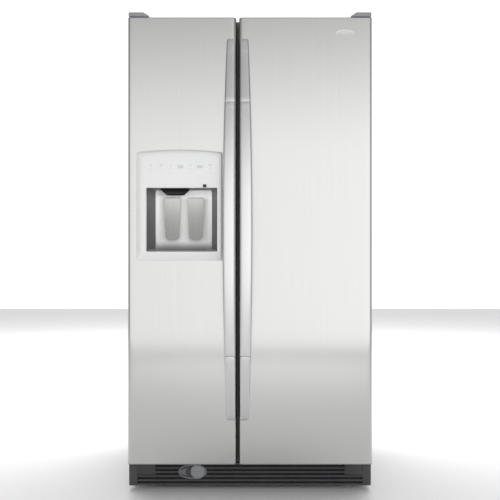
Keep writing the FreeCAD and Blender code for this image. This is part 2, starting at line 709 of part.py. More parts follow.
def condenser_fan():
    body = new_body("fan_blades")
    hub = circle(body, "fan_hub", "YZ_Plane", (0, 0), d.fan_hub)
    feature(body, "Pad", hub, d.fan_hub_long)
    corners = [*BLADE_FOOT, *((across, d.fan_radius - short) for across, short in BLADE_TIP)]
    blades = feature(
        body, "Pad", outline(body, "fan_blade", "YZ_Plane", corners, d.blade_start), d.blade_thick
    )
    x_axis = next(feature_ for feature_ in body.Origin.OriginFeatures if feature_.Role == "X_Axis")
    pattern = repeat(body, blades, "PolarPattern", Axis=(x_axis, [""]), Angle=360)
    bind(pattern, "Occurrences", d.fan_blades)
    bore = circle(body, "fan_bore", "YZ_Plane", (0, 0), d.shaft_radius + d.running_fit, d.fan_hub_long + OVER)
    feature(body, "Pocket", bore, THROUGH)
    bind(body, "Placement.Base.x", d.fan_at - d.shroud_half)
    bind(body, "Placement.Base.y", d.machine_middle)
    bind(body, "Placement.Base.z", d.fan_level)
    subpart(body, "condenser_fan")


def water_valve():
    half = d.valve_width / 2
    nipple_start = rear - d.nipple_long
    half_high = d.valve_half_high
    housing = block(
        "valve_housing", (d.valve_at - half, nipple_start - d.valve_deep, d.valve_level - half_high),
        (d.valve_at + half, nipple_start, d.valve_level + half_high),
    )
    nipple = rod(
        "nipple", d.nipple_radius, (d.valve_at, nipple_start - OVER, d.valve_level), d.nipple_long + OVER, "y"
    )
    passage = rod(
        "nipple_passage", d.nipple_radius / 2, (d.valve_at, nipple_start, d.valve_level), d.passage_long, "y"
    )
    coil = rod(
        "valve_coil", d.valve_coil,
        (d.valve_at, nipple_start - d.valve_coil_at, d.valve_level + half_high - OVER),
        d.valve_coil_long,
    )
    stand = block(
        "valve_stand", (d.valve_at - d.valve_stand_half, nipple_start - d.valve_stand_far, d.pan_low + d.pan),
        (d.valve_at + d.valve_stand_half, nipple_start - d.valve_stand_near, d.valve_level),
    )
    subpart(cut("valve", fuse("valve_pieces", housing, nipple, coil, stand), passage), "water_valve")


# Hinges.

def door_hinges():
    """Top plates with their pins, and bottom brackets with theirs."""
    top = d.cabinet_top
    margin = d.hinge_margin
    plate = block(
        "top_plate", (-hinge_x - margin, hinge_y - margin, top),
        (d.hinge_wide - hinge_x - margin, hinge_y + d.hinge_long, top + d.hinge_plate),
    )
    pin_low = d.door_high - d.pin_long
    top_pin = rod("top_pin", d.pin_radius, (-hinge_x, hinge_y, pin_low), top + d.pin_top - pin_low)
    left_top = fuse("left_top_hinge", plate, top_pin)
    left, bracket_top = bracket_left, d.door_low - d.bracket_gap
    right = left + d.bracket_wide
    shelf = block(
        "bottom_plate", (left, hinge_y - margin, bracket_top - d.bracket_plate),
        (right, cabinet_front + d.bracket_back, bracket_top),
    )
    leg_back = -(d.grille_front + d.bracket_leg_gap)
    leg = block(
        "bottom_leg", (right - d.bracket_leg, leg_back - d.bracket_leg_thick, bracket_top - d.bracket_drop),
        (right, leg_back, bracket_top),
    )
    pin = rod(
        "bottom_pin", d.pin_radius, (-hinge_x, hinge_y, bracket_top - OVER), OVER + d.bracket_gap + d.pin_long
    )
    left_bottom = fuse("left_bottom_hinge", shelf, leg, pin)
    pairs = [
        left_top, mirrored("right_top_hinge", left_top), left_bottom, mirrored(
            "right_bottom_hinge", left_bottom
        )
    ]
    subpart(group("hinges", *pairs), "door_hinges")


def hinge_covers():
    """Shells over the top hinges. Each is open below and its front skirt hides the hinge pin."""
    left = d.steel - side
    front = hinge_y - d.cover_front
    top = d.cabinet_top + d.cover_high
    body = new_body("left_cover")
    # The inner end ramps down, as seen from the front.
    ramp = [
        (left, d.cabinet_top), (left + d.cover_wide, d.cabinet_top),
        (left + d.cover_wide, d.cabinet_top + d.cover_end),
        (left + d.cover_wide - d.cover_ramp, top), (left, top),
    ]
    feature(body, "Pad", outline(body, "cover_ramp", "XZ_Plane", ramp, -front), d.cover_long, reverse=True)
    inner = [
        (left + d.cover_wall, d.cabinet_top), (left + d.cover_wide - d.cover_hollow_in, d.cabinet_top),
        (left + d.cover_wide - d.cover_hollow_ramp, top - d.cover_wall),
        (left + d.cover_wall, top - d.cover_wall),
    ]
    hollow = outline(body, "cover_hollow", "XZ_Plane", inner, -(front + d.cover_wall))
    feature(body, "Pocket", hollow, d.cover_long - 2 * d.cover_wall)
    subpart(group("covers", body, mirrored("right_cover", body)), "hinge_covers")


# Base grille and the water filter in it.

def base_grille():
    body = new_body("grille_bar")
    half = d.overall_width / 2
    front = -d.grille_front
    face = rectangle(body, "grille_face", "XZ_Plane", (-half, d.grille_low), (half, d.grille_high), -front)
    feature(body, "Pad", face, d.grille_deep, reverse=True)
    slot = rectangle(
        body, "grille_slot", "XZ_Plane", (d.slot_margin - half, d.slot_first),
        (half - d.slot_margin, d.slot_first + d.slot_high), -front,
    )
    slots = feature(body, "Pocket", slot, d.grille_deep - d.slot_floor)
    z_axis = next(feature_ for feature_ in body.Origin.OriginFeatures if feature_.Role == "Z_Axis")
    pattern = repeat(body, slots, "LinearPattern", Direction=(z_axis, [""]))
    bind(pattern, "Length", d.slot_pitch * (d.slots - 1))
    bind(pattern, "Occurrences", d.slots)
    ring_front = front - d.ring_out
    ring_deep = d.grille_deep + d.ring_out
    rise = d.eject_high / 2 + d.eject_ring
    ring = rod(
        "filter_ring", d.cap_radius + d.cap_ring, (d.filter_at, ring_front, d.filter_level), ring_deep, "y"
    )
    eject_ring = rod("eject_ring", rise, (d.eject_at, ring_front, d.filter_level), ring_deep, "y")
    bridge = block(
        "ring_bridge", (d.eject_at, ring_front, d.filter_level - rise),
        (d.filter_at, ring_front + ring_deep, d.filter_level + rise),
    )
    start, end = front - THROUGH, front + THROUGH
    cap_hole = rod(
        "cap_hole", d.cap_radius + d.ring_slack, (d.filter_at, start, d.filter_level), 2 * THROUGH, "y"
    )
    half_wide, half_high = d.eject_width / 2 + d.eject_slack, d.eject_high / 2 + d.eject_slack
    eject_hole = block(
        "eject_hole", (d.eject_at - half_wide, start, d.filter_level - half_high),
        (d.eject_at + half_wide, end, d.filter_level + half_high),
    )
    # The bottom hinges need room in front of the bar for their legs and above it for their plates.
    gap = d.notch_gap
    bracket_right = bracket_left + d.bracket_wide
    bracket_top = d.door_low - d.bracket_gap
    leg = (bracket_right - d.bracket_leg - gap, bracket_right + gap)
    plate = (-half, d.bracket_wide + d.plate_notch - half)
    notches = []
    for word, (left, right), back, drop in (
        ("leg", leg, front + gap, d.bracket_drop), ("plate", plate, end, d.bracket_plate),
    ):
        low = bracket_top - drop - gap
        notches.append(block(f"left_{word}_notch", (left, start, low), (right, back, d.door_low)))
        notches.append(block(f"right_{word}_notch", (-right, start, low), (-left, back, d.door_low)))
    grille = fuse("grille_ringed", body, ring, eject_ring, bridge)
    top = block("grille_trim", (-half, start, d.grille_high), (half, end, d.grille_high + THROUGH))
    subpart(cut("grille", grille, cap_hole, eject_hole, top, *notches), "base_grille")


def water_filter():
    front = -d.grille_front
    start = front + d.cap_long - d.cap_lap
    tube_start = cabinet_front + d.tube_start
    tube_long = start + d.filter_long + d.tube_end - tube_start
    bore_radius = d.filter_radius + d.tube_slack
    tube = rod(
        "filter_tube", bore_radius + d.tube_wall, (d.filter_at, tube_start, d.filter_level), tube_long, "y"
    )
    tube_bore = rod(
        "filter_tube_bore", bore_radius, (d.filter_at, tube_start - OVER, d.filter_level),
        tube_long - d.tube_floor, "y",
    )
    subpart(cut("filter_tube_open", tube, tube_bore), "filter_housing")

    stem = rod(
        "filter_stem", d.stem_radius, (
            d.filter_at, start - d.stem_long, d.filter_level
        ), d.stem_long + OVER, "y"
    )
    can = rod("filter_can", d.filter_radius, (d.filter_at, start, d.filter_level), d.filter_long, "y")
    subpart(fuse("filter_canister", can, stem), "filter_cartridge")

    body = new_body("filter_cap_turned")
    neck = d.cap_long - d.cap_neck
    feature(body, "Pad", circle(body, "cap_disc", "XZ_Plane", (0, 0), d.cap_radius), neck, reverse=True)
    reach = d.cap_radius - d.ridge_in
    ridge = rectangle(body, "cap_ridge", "XZ_Plane", (-reach, d.cap_ridge / -2), (reach, d.cap_ridge / 2))
    feature(body, "Pad", ridge, d.ridge_out)
    socket = circle(body, "cap_socket", "XZ_Plane", (0, 0), d.stem_radius + d.running_fit, -neck)
    feature(body, "Pocket", socket, d.socket_deep, reverse=True)
    bind(body, "Placement.Base.x", d.filter_at)
    bind(body, "Placement.Base.y", front)
    bind(body, "Placement.Base.z", d.filter_level)
    subpart(body, "filter_cap")

    half_wide, half_high = d.eject_width / 2, d.eject_high / 2
    crescent = new_body("eject_button")
    # A button with a pointed left end and a hollow right side that follows the cap's ring.
    horn = d.eject_at + half_wide - d.eject_hollow
    shape = [
        (d.eject_at - half_wide, d.filter_level), (horn, d.filter_level - half_high),
        (d.eject_at + half_wide - d.eject_tip, d.filter_level), (horn, d.filter_level + half_high),
    ]
    face = outline(crescent, "eject_shape", "XZ_Plane", shape, d.eject_tip - front)
    feature(crescent, "Pad", face, d.eject_deep, reverse=True)
    subpart(crescent, "filter_eject_button")


# Doors.

def slab(name, left, right, front, back, low, high, radius):
    """An upright slab whose two front corners are rounded."""
    body = new_body(name)
    feature(
        body, "Pad", rectangle(
            body, name + "_plan", "XY_Plane", (left, front), (right, back), low
        ), high - low
    )
    front_at = number(front)
    round_edges(
        body, radius, lambda middle, way: abs(way.z) > 0.99 and abs(middle.y - front_at) < 0.01
    )
    return body


def door_shell(door):
    """The folded steel skin and the two end caps."""
    name = door.name
    low, high = d.door_low + d.cap_lip, d.door_high - d.cap_lip
    outside = slab(
        name + "_skin_outside", door.left, door.right, door_front, door_back, low, high, d.corner_round
    )
    inside = slab(
        name + "_skin_inside", door.left + d.steel, door.right - d.steel, door_front + d.steel,
        door_back + OVER,
        low - OVER, high + OVER, d.corner_round - d.steel,
    )
    cutters = [inside]
    if door is FREEZER:
        half = d.mouth_width / 2 + d.window_margin
        cutters.append(block(
            "skin_window", (d.mouth_middle - half, door_front - OVER, d.mouth_low - d.window_margin),
            (d.mouth_middle + half, door_front + d.steel + OVER, d.mouth_high + d.window_margin),
        ))
    subpart(cut(name + "_skin", outside, *cutters), name + "_door_skin")

    caps = []
    for word, lip_low, plug_low, plug_high, bore_low in (
        ("bottom", d.door_low, d.door_low + d.cap_lip, d.door_low + d.cap_deep, d.door_low - OVER),
        ("top", d.door_high - d.cap_lip, d.door_high - d.cap_deep, d.door_high - d.cap_lip,
         d.door_high - d.pin_long - OVER),
    ):
        lip = slab(
            f"{name}_{word}_lip", door.left, door.right, door_front, door_back, lip_low, lip_low + d.cap_lip,
            d.corner_round,
        )
        plug = slab(
            f"{name}_{word}_plug", door.left + d.steel, door.right - d.steel, door_front + d.steel,
            door_back - d.door_liner, plug_low, plug_high, d.corner_round - d.steel,
        )
        bore = rod(
            f"{name}_{word}_bore", d.pin_radius + d.running_fit, (
                door.hinge, hinge_y, bore_low
            ), d.pin_long + 2 * OVER
        )
        caps.append(cut(f"{name}_{word}_cap", fuse(f"{name}_{word}_solid", lip, plug), bore))
    subpart(group(name + "_caps", *caps), name + "_door_caps")


def dyke_ends(door):
    """The left and right faces of the raised ring inside a door."""
    return door.cavity_left + d.dyke_in, door.cavity_right - d.dyke_in


def door_liner(door):
    """The moulded inner panel: a flat back, two upright dykes and, on the freezer door, the bulge."""
    name = door.name
    plate = block(
        name + "_inner_plate", (door.left + d.steel, door_back - d.door_liner, d.door_low + d.cap_lip),
        (door.right - d.steel, door_back, d.door_high - d.cap_lip),
    )
    left, right = dyke_ends(door)
    root = door_back - OVER
    pieces = [plate]
    for word, start, end in (("left", left, left + d.dyke_wide), ("right", right - d.dyke_wide, right)):
        pieces.append(block(
            f"{name}_dyke_{word}", (start, root, d.dyke_low), (end, root + d.dyke_deep, d.dyke_high)
        ))
    for word, start in (("low", d.dyke_low), ("high", d.dyke_high - d.dyke_bar)):
        pieces.append(block(
            f"{name}_dyke_{word}", (left, root, start), (
                right, door_back + d.dyke_bar_deep, start + d.dyke_bar
            )
        ))
    if door is FRIDGE:
        subpart(fuse(name + "_inner", *pieces), name + "_door_liner")
        return None
    half = d.bulge_width / 2
    pieces.append(block(
        "bulge", (d.bulge_middle - half, root, d.bulge_low),
        (d.bulge_middle + half, door_back + d.bulge_deep, d.bulge_high),
    ))
    hollow_low = (d.bulge_middle - half + d.door_liner, door_back - d.door_liner, d.bulge_low + d.door_liner)
    hollow_high = (
        d.bulge_middle + half - d.door_liner, door_back + d.bulge_deep - d.door_liner,
        d.bulge_high - d.door_liner,
    )
    hollow = block("bulge_hollow", hollow_low, hollow_high)
    reach = block(
        "bulge_reach", (
            hollow_low[0], hollow_low[1] - OVER, hollow_low[2]
        ), (hollow_high[0], door_back, hollow_high[2])
    )
    subpart(cut(name + "_inner", fuse(name + "_inner_solid", *pieces), hollow, reach), name + "_door_liner")
    return hollow


def door_foam(door, additions=(), cutters=()):
    name = door.name
    body = slab(
        name + "_foam_slab", door.left + d.steel, door.right - d.steel, door_front + d.steel,
        door_back - d.door_liner, d.door_low + d.cap_deep, d.door_high - d.cap_deep, d.corner_round - d.steel,
    )
    filling = fuse(name + "_foam_whole", body, *additions) if additions else body
    filling = cut(name + "_foam_cut", filling, *cutters) if cutters else filling
    subpart(filling, name + "_door_foam")


def gasket(door):
    """The magnetic seal: a hollow rectangle on the door's back."""
    name = door.name
    outer_left = d.seal_in + door.left if door is FREEZER else d.seal_free_in + door.left
    outer_right = door.right - d.seal_free_in if door is FREEZER else door.right - d.seal_in
    body = new_body(name + "_seal")
    low, high = d.door_low + d.seal_in, d.door_high - d.seal_in
    ring = rectangle(
        body, name + "_seal_outside", "XZ_Plane", (outer_left, low), (outer_right, high), -door_back
    )
    feature(body, "Pad", ring, d.seal_thick, reverse=True)
    hole = rectangle(
        body, name + "_seal_inside", "XZ_Plane", (outer_left + d.seal_wide, low + d.seal_wide),
        (outer_right - d.seal_wide, high - d.seal_wide), -door_back,
    )
    feature(body, "Pocket", hole, d.seal_thick + OVER)
    subpart(body, name + "_gasket")


def handle(door):
    """A bar that bows out from the door and widens towards its middle, in three pieces."""
    name = door.name
    inner = door.right - d.handle_edge if door is FREEZER else door.left + d.handle_edge
    outer = inner - d.handle_end_width * door.free_side
    chord = d.handle_high - d.handle_low
    front = new_body(name + "_bar_front")
    if door is FREEZER:
        corners = [
            (outer, d.handle_low), (inner, d.handle_low), (inner, d.handle_high), (outer, d.handle_high)
        ]
        bulges = {3: (chord, -d.handle_bow)}
    else:
        corners = [
            (inner, d.handle_low), (outer, d.handle_low), (outer, d.handle_high), (inner, d.handle_high)
        ]
        bulges = {1: (chord, -d.handle_bow)}
    shape = outline(front, name + "_bar_outline", "XZ_Plane", corners, -door_front, bulges)
    feature(front, "Pad", shape, d.handle_reach + OVER)

    profile = new_body(name + "_bar_profile")
    side_corners = [
        (door_front, d.handle_high), (door_front - d.handle_end_thick, d.handle_high),
        (door_front - d.handle_end_thick, d.handle_low), (door_front, d.handle_low),
    ]
    side_bulges = {
        1: (chord, -(d.handle_reach - d.handle_end_thick)),
        3: (chord, d.handle_reach - d.handle_thick),
    }
    section = outline(profile, name + "_bar_side", "YZ_Plane", side_corners, inner - THROUGH, side_bulges)
    feature(profile, "Pad", section, 2 * THROUGH)
    bar = common(name + "_bar", front, profile)
    spans = {
        "bottom": (d.handle_low - OVER, d.grip_low - d.seam), "grip": (d.grip_low, d.grip_high),
        "top": (d.grip_high + d.seam, d.handle_high + OVER),
    }
    cuts = {
        word: common(
            f"{name}_bar_{word}", bar,
            block(
                f"{name}_span_{word}", (
                    inner - THROUGH, -(rear + OVER), start
                ), (inner + THROUGH, door_front, end)
            ),
        )
        for word, (start, end) in spans.items()
    }
    subpart(cuts["grip"], name + "_handle_grip")
    subpart(group(name + "_bar_ends", cuts["bottom"], cuts["top"]), name + "_handle_ends")


def bins(door, levels, label):
    """Open bins that hang between a door's dykes. Those that face a drawer are shallow."""
    left, right = dyke_ends(door)
    inset = d.dyke_wide + d.bin_slack
    made = [
        tub(
            f"{door.name}_bin_{count}", (left + inset, door_back + d.bin_slack, level),
            (right - inset, door_back + d.bin_slack + deep, level + d.bin_high), d.bin_wall, d.bin_wall,
        )
        for count, (level, deep) in enumerate(levels)
    ]
    if door is FRIDGE:
        low = (left + inset, door_back + d.bin_slack, d.dairy_low)
        high = (right - inset, door_back + d.bin_slack + d.bin_deep - d.lid_thick - d.lid_gap, d.dairy_high)
        case = block("dairy_case", low, high)
        hollow = block(
            "dairy_hollow", (low[0] + d.bin_wall, low[1] + d.bin_wall, low[2] + d.bin_wall),
            (high[0] - d.bin_wall, high[1] + OVER, high[2] - d.bin_wall),
        )
        made.append(cut("dairy_box", case, hollow))
    subpart(group(label + "_all", *made), label)


def dairy_lid():
    """A flap that lifts about its top edge."""
    left, right = dyke_ends(FRIDGE)
    inset = d.dyke_wide + d.bin_slack
    back = door_back + d.bin_slack + d.bin_deep
    flap = block(
        "lid_flap", (left + inset, back - d.lid_thick, d.dairy_low), (
            right - inset, back, d.dairy_high - d.lid_drop
        )
    )
    # The barrel is a little thicker than the flap and lies flush with its front.
    radius = d.lid_thick / 2 + d.lid_gap
    barrel = rod(
        "lid_barrel", radius, (left + inset, back - d.lid_thick + radius, d.dairy_high - d.barrel_drop),
        right - left - 2 * inset, "x",
    )
    subpart(fuse("lid", flap, barrel), "dairy_lid")


# Dispenser.

def recess_shape(name, grow, front):
    """The tapered space behind the dispenser's mouth."""
    half = d.mouth_width / 2
    return funnel(
        name, front, recess_back + grow,
        (d.mouth_middle - half - grow, d.mouth_low - grow),
        (d.mouth_middle + half + grow, d.mouth_high + grow),
        (d.mouth_middle - half + d.recess_draft - grow, d.mouth_low + d.recess_rise - grow),
        (d.mouth_middle + half - d.recess_draft + grow, d.mouth_high + grow),
    )


KEYS = (
    ("lock_key", d.lock_key_at, d.key_width, d.key_level),
    ("select_key", d.select_key_at, d.key_width, d.key_level),
    ("light_key", d.light_key_at, d.light_key_width, d.light_key_level),
)


def key_block(name, at, width, level, grow, start, end):
    half, high = width / 2 + grow, d.key_high / 2 + grow
    return block(name, (at - half, start, level - high), (at + half, end, level + high))


def dispenser_bezel():
    front = door_front - d.bezel_thick
    half = d.bezel_width / 2
    left, right = d.bezel_middle - half, d.bezel_middle + half
    body = new_body("bezel_face")
    corners = [(left, d.bezel_low), (right, d.bezel_low), (right, d.bezel_high), (left, d.bezel_high)]
    face = outline(
        body, "bezel_outline", "XZ_Plane", corners, -door_front, {2: (d.bezel_width, -d.bezel_arch)}
    )
    feature(body, "Pad", face, d.bezel_thick)
    mouth_half = d.mouth_width / 2
    mouth = rectangle(
        body, "bezel_mouth", "XZ_Plane", (d.mouth_middle - mouth_half, d.mouth_low),
        (d.mouth_middle + mouth_half, d.mouth_high), -front,
    )
    feature(body, "Pocket", mouth, d.bezel_thick + OVER)
    holes = [
        key_block(
            f"{label}_hole", at, width, level, d.key_slack, front - OVER, front + d.key_deep + d.key_room
        )
        for label, at, width, level in KEYS
    ]
    subpart(cut("bezel", body, *holes), "dispenser_bezel")


def dispenser_keys():
    front = door_front - d.bezel_thick
    for label, at, width, level in KEYS:
        subpart(key_block(label + "_cap", at, width, level, 0, front - d.key_out, front + d.key_deep), label)


def chute_outline(body, name, offset):
    half, mouth = d.chute_width / 2, d.chute_mouth / 2
    corners = [
        (d.chute_at - mouth, d.chute_low), (d.chute_at + mouth, d.chute_low),
        (d.chute_at + half, d.chute_shoulder), (d.chute_at + half, d.chute_high),
        (d.chute_at - half, d.chute_high), (d.chute_at - half, d.chute_shoulder),
    ]
    return outline(body, name, "XZ_Plane", corners, offset)


def ice_chute():
    """The nozzle that guides ice into a glass. Returns its outer shape, which the recess makes room for."""
    body = new_body("chute_outside")
    start = door_front + d.chute_front
    feature(body, "Pad", chute_outline(body, "chute_outline", -start), d.chute_deep, reverse=True)
    half = d.chute_mouth / 2 - d.chute_wall
    passage = block(
        "chute_passage", (d.chute_at - half, start + d.chute_wall, d.chute_low - OVER),
        (d.chute_at + half, start + d.chute_deep - d.chute_wall, d.chute_high - d.chute_roof),
    )
    subpart(cut("chute", body, passage), "ice_chute")
    return body


def dispenser_recess(chute_body):
    outside = recess_shape("recess_outside", d.recess_wall, door_front + d.recess_start)
    inside = recess_shape("recess_inside", 0, door_front - OVER)
    shell = cut("recess_shell", outside, inside, chute_body)
    subpart(shell, "dispenser_recess")
    return outside


def backplate():
    """The pale panel at the back of the recess, with the lugs that carry the paddles."""
    half = d.mouth_width / 2 - d.recess_draft - d.backplate_in
    back = recess_back - d.backplate_gap
    plate = block(
        "backplate_sheet",
        (d.mouth_middle - half, back - d.backplate, d.mouth_low + d.recess_rise + d.backplate_in),
        (d.mouth_middle + half, back, d.mouth_high - d.backplate_gap),
    )
    pivot = door_front + d.paddle_back + d.pivot_back
    lug_low = d.paddle_top - d.lug_drop
    lugs = []
    for label, at in (("ice", d.ice_paddle_at), ("water", d.water_paddle_at)):
        for word, sign in (("left", -1), ("right", 1)):
            middle = at + (d.paddle_width / 2 - d.lug_in) * sign
            lugs.append(block(
                f"{label}_lug_{word}", (middle - d.lug_thick / 2, pivot - d.lug_drop, lug_low),
                (middle + d.lug_thick / 2, back - OVER, lug_low + d.lug_high),
            ))
    bores = [
        rod(
            f"{label}_lug_bore", d.pivot_radius + d.running_fit,
            (at - d.paddle_width / 2, pivot, d.paddle_top),
            d.paddle_width, "x",
        )
        for label, at in (("ice", d.ice_paddle_at), ("water", d.water_paddle_at))
    ]
    subpart(cut("backplate_bored", fuse("backplate_lugs", plate, *lugs), *bores), "dispenser_backplate")


def paddle(label, at):
    """A cup-shaped lever that swings on a shaft behind its top edge."""
    body = new_body(label + "_blade")
    half, foot = d.paddle_width / 2, d.paddle_foot / 2
    low = d.paddle_top - d.paddle_high
    corners = [(at - foot, low), (at + foot, low), (at + half, d.paddle_top), (at - half, d.paddle_top)]
    start = door_front + d.paddle_back - d.paddle_thick
    face = outline(body, label + "_outline", "XZ_Plane", corners, -start, {0: (d.paddle_foot, -d.paddle_sag)})
    feature(body, "Pad", face, d.paddle_thick, reverse=True)
    pivot = start + d.paddle_thick + d.pivot_back
    shaft = rod(
        label + "_shaft", d.pivot_radius, (at - half + d.shaft_in, pivot, d.paddle_top),
        d.paddle_width - 2 * d.shaft_in, "x",
    )
    arm = block(
        label + "_arm", (at - half + d.arm_in, start + d.paddle_thick - OVER, d.paddle_top - d.arm_high),
        (at + half - d.arm_in, pivot, d.paddle_top),
    )
    subpart(fuse(label + "_lever", body, arm, shaft), label)


# Inside the two compartments.

def shelves():
    """Glass shelves in frames on the fridge side and wire shelves on the freezer side."""
    frames, panes = [], []
    left, right = FRIDGE.cavity_left + d.shelf_slack, FRIDGE.cavity_right - d.shelf_slack
    for count, level in enumerate(shelf_levels(FRIDGE)):
        back = (step_back if count == 0 else cavity_back) - d.shelf_slack
        whole = block(f"shelf_{count}", (left, shelf_front, level - d.shelf_thick), (right, back, level))
        window = block(
            f"shelf_window_{count}",
            (left + d.shelf_frame, shelf_front + d.shelf_frame, level - d.shelf_thick - OVER),
            (right - d.shelf_frame, back - d.shelf_frame, level + OVER),
        )
        seat = block(
            f"shelf_seat_{count}",
            (left + d.shelf_frame / 2, shelf_front + d.shelf_frame / 2, level - d.glass_thick),
            (right - d.shelf_frame / 2, back - d.shelf_frame / 2, level + OVER),
        )
        frames.append(cut(f"shelf_frame_{count}", whole, window, seat))
        panes.append(block(
            f"pane_{count}",
            (left + d.shelf_frame / 2, shelf_front + d.shelf_frame / 2, level - d.glass_thick),
            (right - d.shelf_frame / 2, back - d.shelf_frame / 2, level),
        ))
    subpart(group("frames", *frames), "shelf_frames")
    subpart(group("panes", *panes), "shelf_glass")

    racks = []
    left, right = FREEZER.cavity_left + d.shelf_slack, FREEZER.cavity_right - d.shelf_slack
    for count, level in enumerate(shelf_levels(FREEZER)):
        back = (step_back if count == 0 else cavity_back) - d.shelf_slack
        bottom, rim = level - d.wire_thick, d.rack_rim
        whole = block(f"rack_{count}", (left, shelf_front, bottom), (right, back, level))
        hole = block(
            f"rack_hole_{count}", (
                left + rim, shelf_front + rim, bottom - OVER
            ), (right - rim, back - rim, level + OVER)
        )
        span = (right - left) / (d.rack_bars + 1)
        bars = [
            block(
                f"rack_bar_{count}_{bar}",
                (left + span * bar - d.wire_bar / 2, shelf_front + rim / 2, level - d.wire_bar),
                (left + span * bar + d.wire_bar / 2, back - rim / 2, level),
            )
            for bar in range(1, DIMENSIONS["rack_bars"] + 1)
        ]
        racks.append(fuse(f"rack_done_{count}", cut(f"rack_frame_{count}", whole, hole), *bars))
    subpart(group("racks", *racks), "freezer_shelves")


def drawer(door, label, low, high, back):
    """A pull-out drawer with a finger lip across its front."""
    left, right = door.cavity_left + d.drawer_slack, door.cavity_right - d.drawer_slack
    box = tub(label + "_box", (left, shelf_front, low), (right, back, high), d.drawer_wall, d.drawer_wall)
    lip = block(
        label + "_lip", (left + d.lip_in, shelf_front - d.drawer_lip, high - d.lip_drop),
        (right - d.lip_in, shelf_front + OVER, high - d.lip_top),
    )
    subpart(fuse(label + "_lipped", box, lip), label)


def drawers():
    gap, lift = d.drawer_gap, d.drawer_lift
    fridge_levels, freezer_levels = shelf_levels(FRIDGE), shelf_levels(FREEZER)
    under_glass, under_wire = d.shelf_thick + d.ledge_high + gap, d.wire_thick + d.ledge_high + gap
    low, back = d.cavity_low + gap, step_back - gap
    drawer(FRIDGE, "crisper_drawer", low, fridge_levels[0] - under_glass, back)
    drawer(FRIDGE, "deli_drawer", fridge_levels[0] + lift, fridge_levels[1] - under_glass, back)
    drawer(FREEZER, "freezer_basket", low, freezer_levels[0] - under_wire, back)
    drawer(
        FREEZER, "ice_bin", freezer_levels[4] + lift, freezer_levels[
            4
        ] + lift + d.ice_bin_high, cavity_back - gap
    )


def ice_maker():
    """A hanging tray with its drive head and the wire arm that feels how full the bin is."""
    left = (freezer_left + freezer_right) / 2 - d.ice_maker_width / 2
    right = left + d.ice_maker_width
    back = cavity_back - d.ice_maker_back
    front = back - d.ice_maker_long
    low = cavity_top - d.ice_maker_high
    wall = d.ice_tray_wall
    tray = tub(
        "ice_tray", (left, front, low + d.ice_tray_low), (right, back, low + d.ice_tray_high), wall, wall
    )
    hangers = [
        block(
            f"ice_hanger_{count}", (left, start, low + d.ice_hanger_low),
            (left + d.ice_hanger_thick, start + d.ice_hanger_long, cavity_top),
        )
        for count, start in enumerate((front, back - d.ice_hanger_long))
    ]
    head = block("ice_head", (left, front - d.ice_head_deep, low), (right, front, low + d.ice_head_high))
    level = low + d.ice_wire_low
    arm = rod(
        "ice_arm", d.ice_wire, (left - d.ice_wire_out, front - d.ice_wire_front, level), d.ice_maker_long, "y"
    )
    pivot = rod(
        "ice_arm_pivot", d.ice_wire, (
            left - d.ice_pivot_out, front - d.ice_pivot_front, level
        ), d.ice_pivot_long, "x"
    )
    subpart(fuse("ice_maker_whole", tray, *hangers, head, arm, pivot), "ice_maker")


def controls():
    """The light and thermostat housing at the top of the fridge compartment, with its two knobs."""
    left, right = FRIDGE.cavity_left + d.control_in, FRIDGE.cavity_right - d.control_in
    low = cavity_top - d.control_high
    middle = (left + right) / 2
    front = shelf_front - d.control_front
    case = block("control_case", (left, front, low), (right, front + d.control_deep, cavity_top))
    lamp_space = block(
        "lamp_space", (middle - d.lamp_half, shelf_front + d.lamp_front, low - OVER),
        (middle + d.lamp_half, shelf_front + d.lamp_back, low + d.lamp_high),
    )
    knob_level = low + d.control_high / 2
    disc_deep = d.knob_deep - d.knob_grip
    reach, half = d.knob_radius - d.knob_grip, d.knob_grip_half
    spindles = []
    for label, sign in (("fridge_control_knob", -1), ("freezer_control_knob", 1)):
        at = middle + d.knob_apart * sign
        spindles.append(rod(
            label + "_spindle", d.spindle_radius, (
                at, shelf_front - d.spindle_out, knob_level
            ), d.spindle_long, "y"
        ))
        body = new_body(label + "_turned")
        feature(body, "Pad", circle(body, label + "_disc", "XZ_Plane", (0, 0), d.knob_radius), disc_deep)
        grip = rectangle(body, label + "_grip", "XZ_Plane", (-reach, -half), (reach, half), disc_deep)
        feature(body, "Pad", grip, d.knob_grip)
        bore = circle(
            body, label + "_bore", "XZ_Plane", (0, 0), d.spindle_radius + d.running_fit, d.knob_bore_start
        )
        feature(body, "Pocket", bore, d.knob_bore_deep)
        bind(body, "Placement.Base.x", at)
        bind(body, "Placement.Base.y", shelf_front - d.knob_front)
        bind(body, "Placement.Base.z", knob_level)
        subpart(body, label)
    subpart(fuse("control_whole", cut("control_lamp", case, lamp_space), *spindles), "control_housing")


def write_parts():
    """Checks every object and writes each sub-part to its own file."""
    doc.recompute()
    failed = [thing.Name for thing in doc.Objects if {"Invalid", "Error"} & set(thing.State)]
    if failed:
        raise RuntimeError(f"these objects failed: {failed}")
    os.makedirs("parts", exist_ok=True)
    for thing in subparts:
        shape = thing.Shape
        if shape.isNull() or not shape.isValid() or not shape.Solids or shape.Volume <= 0:
            raise RuntimeError(f"{thing.Label} has no sound solid")
        shape.exportStep(f"parts/{thing.Label}.step")
        print(f"{thing.Label}: {len(shape.Solids)} solid(s), {shape.Volume / 1000:.1f} cm3")
    print(f"{len(subparts)} sub-parts")


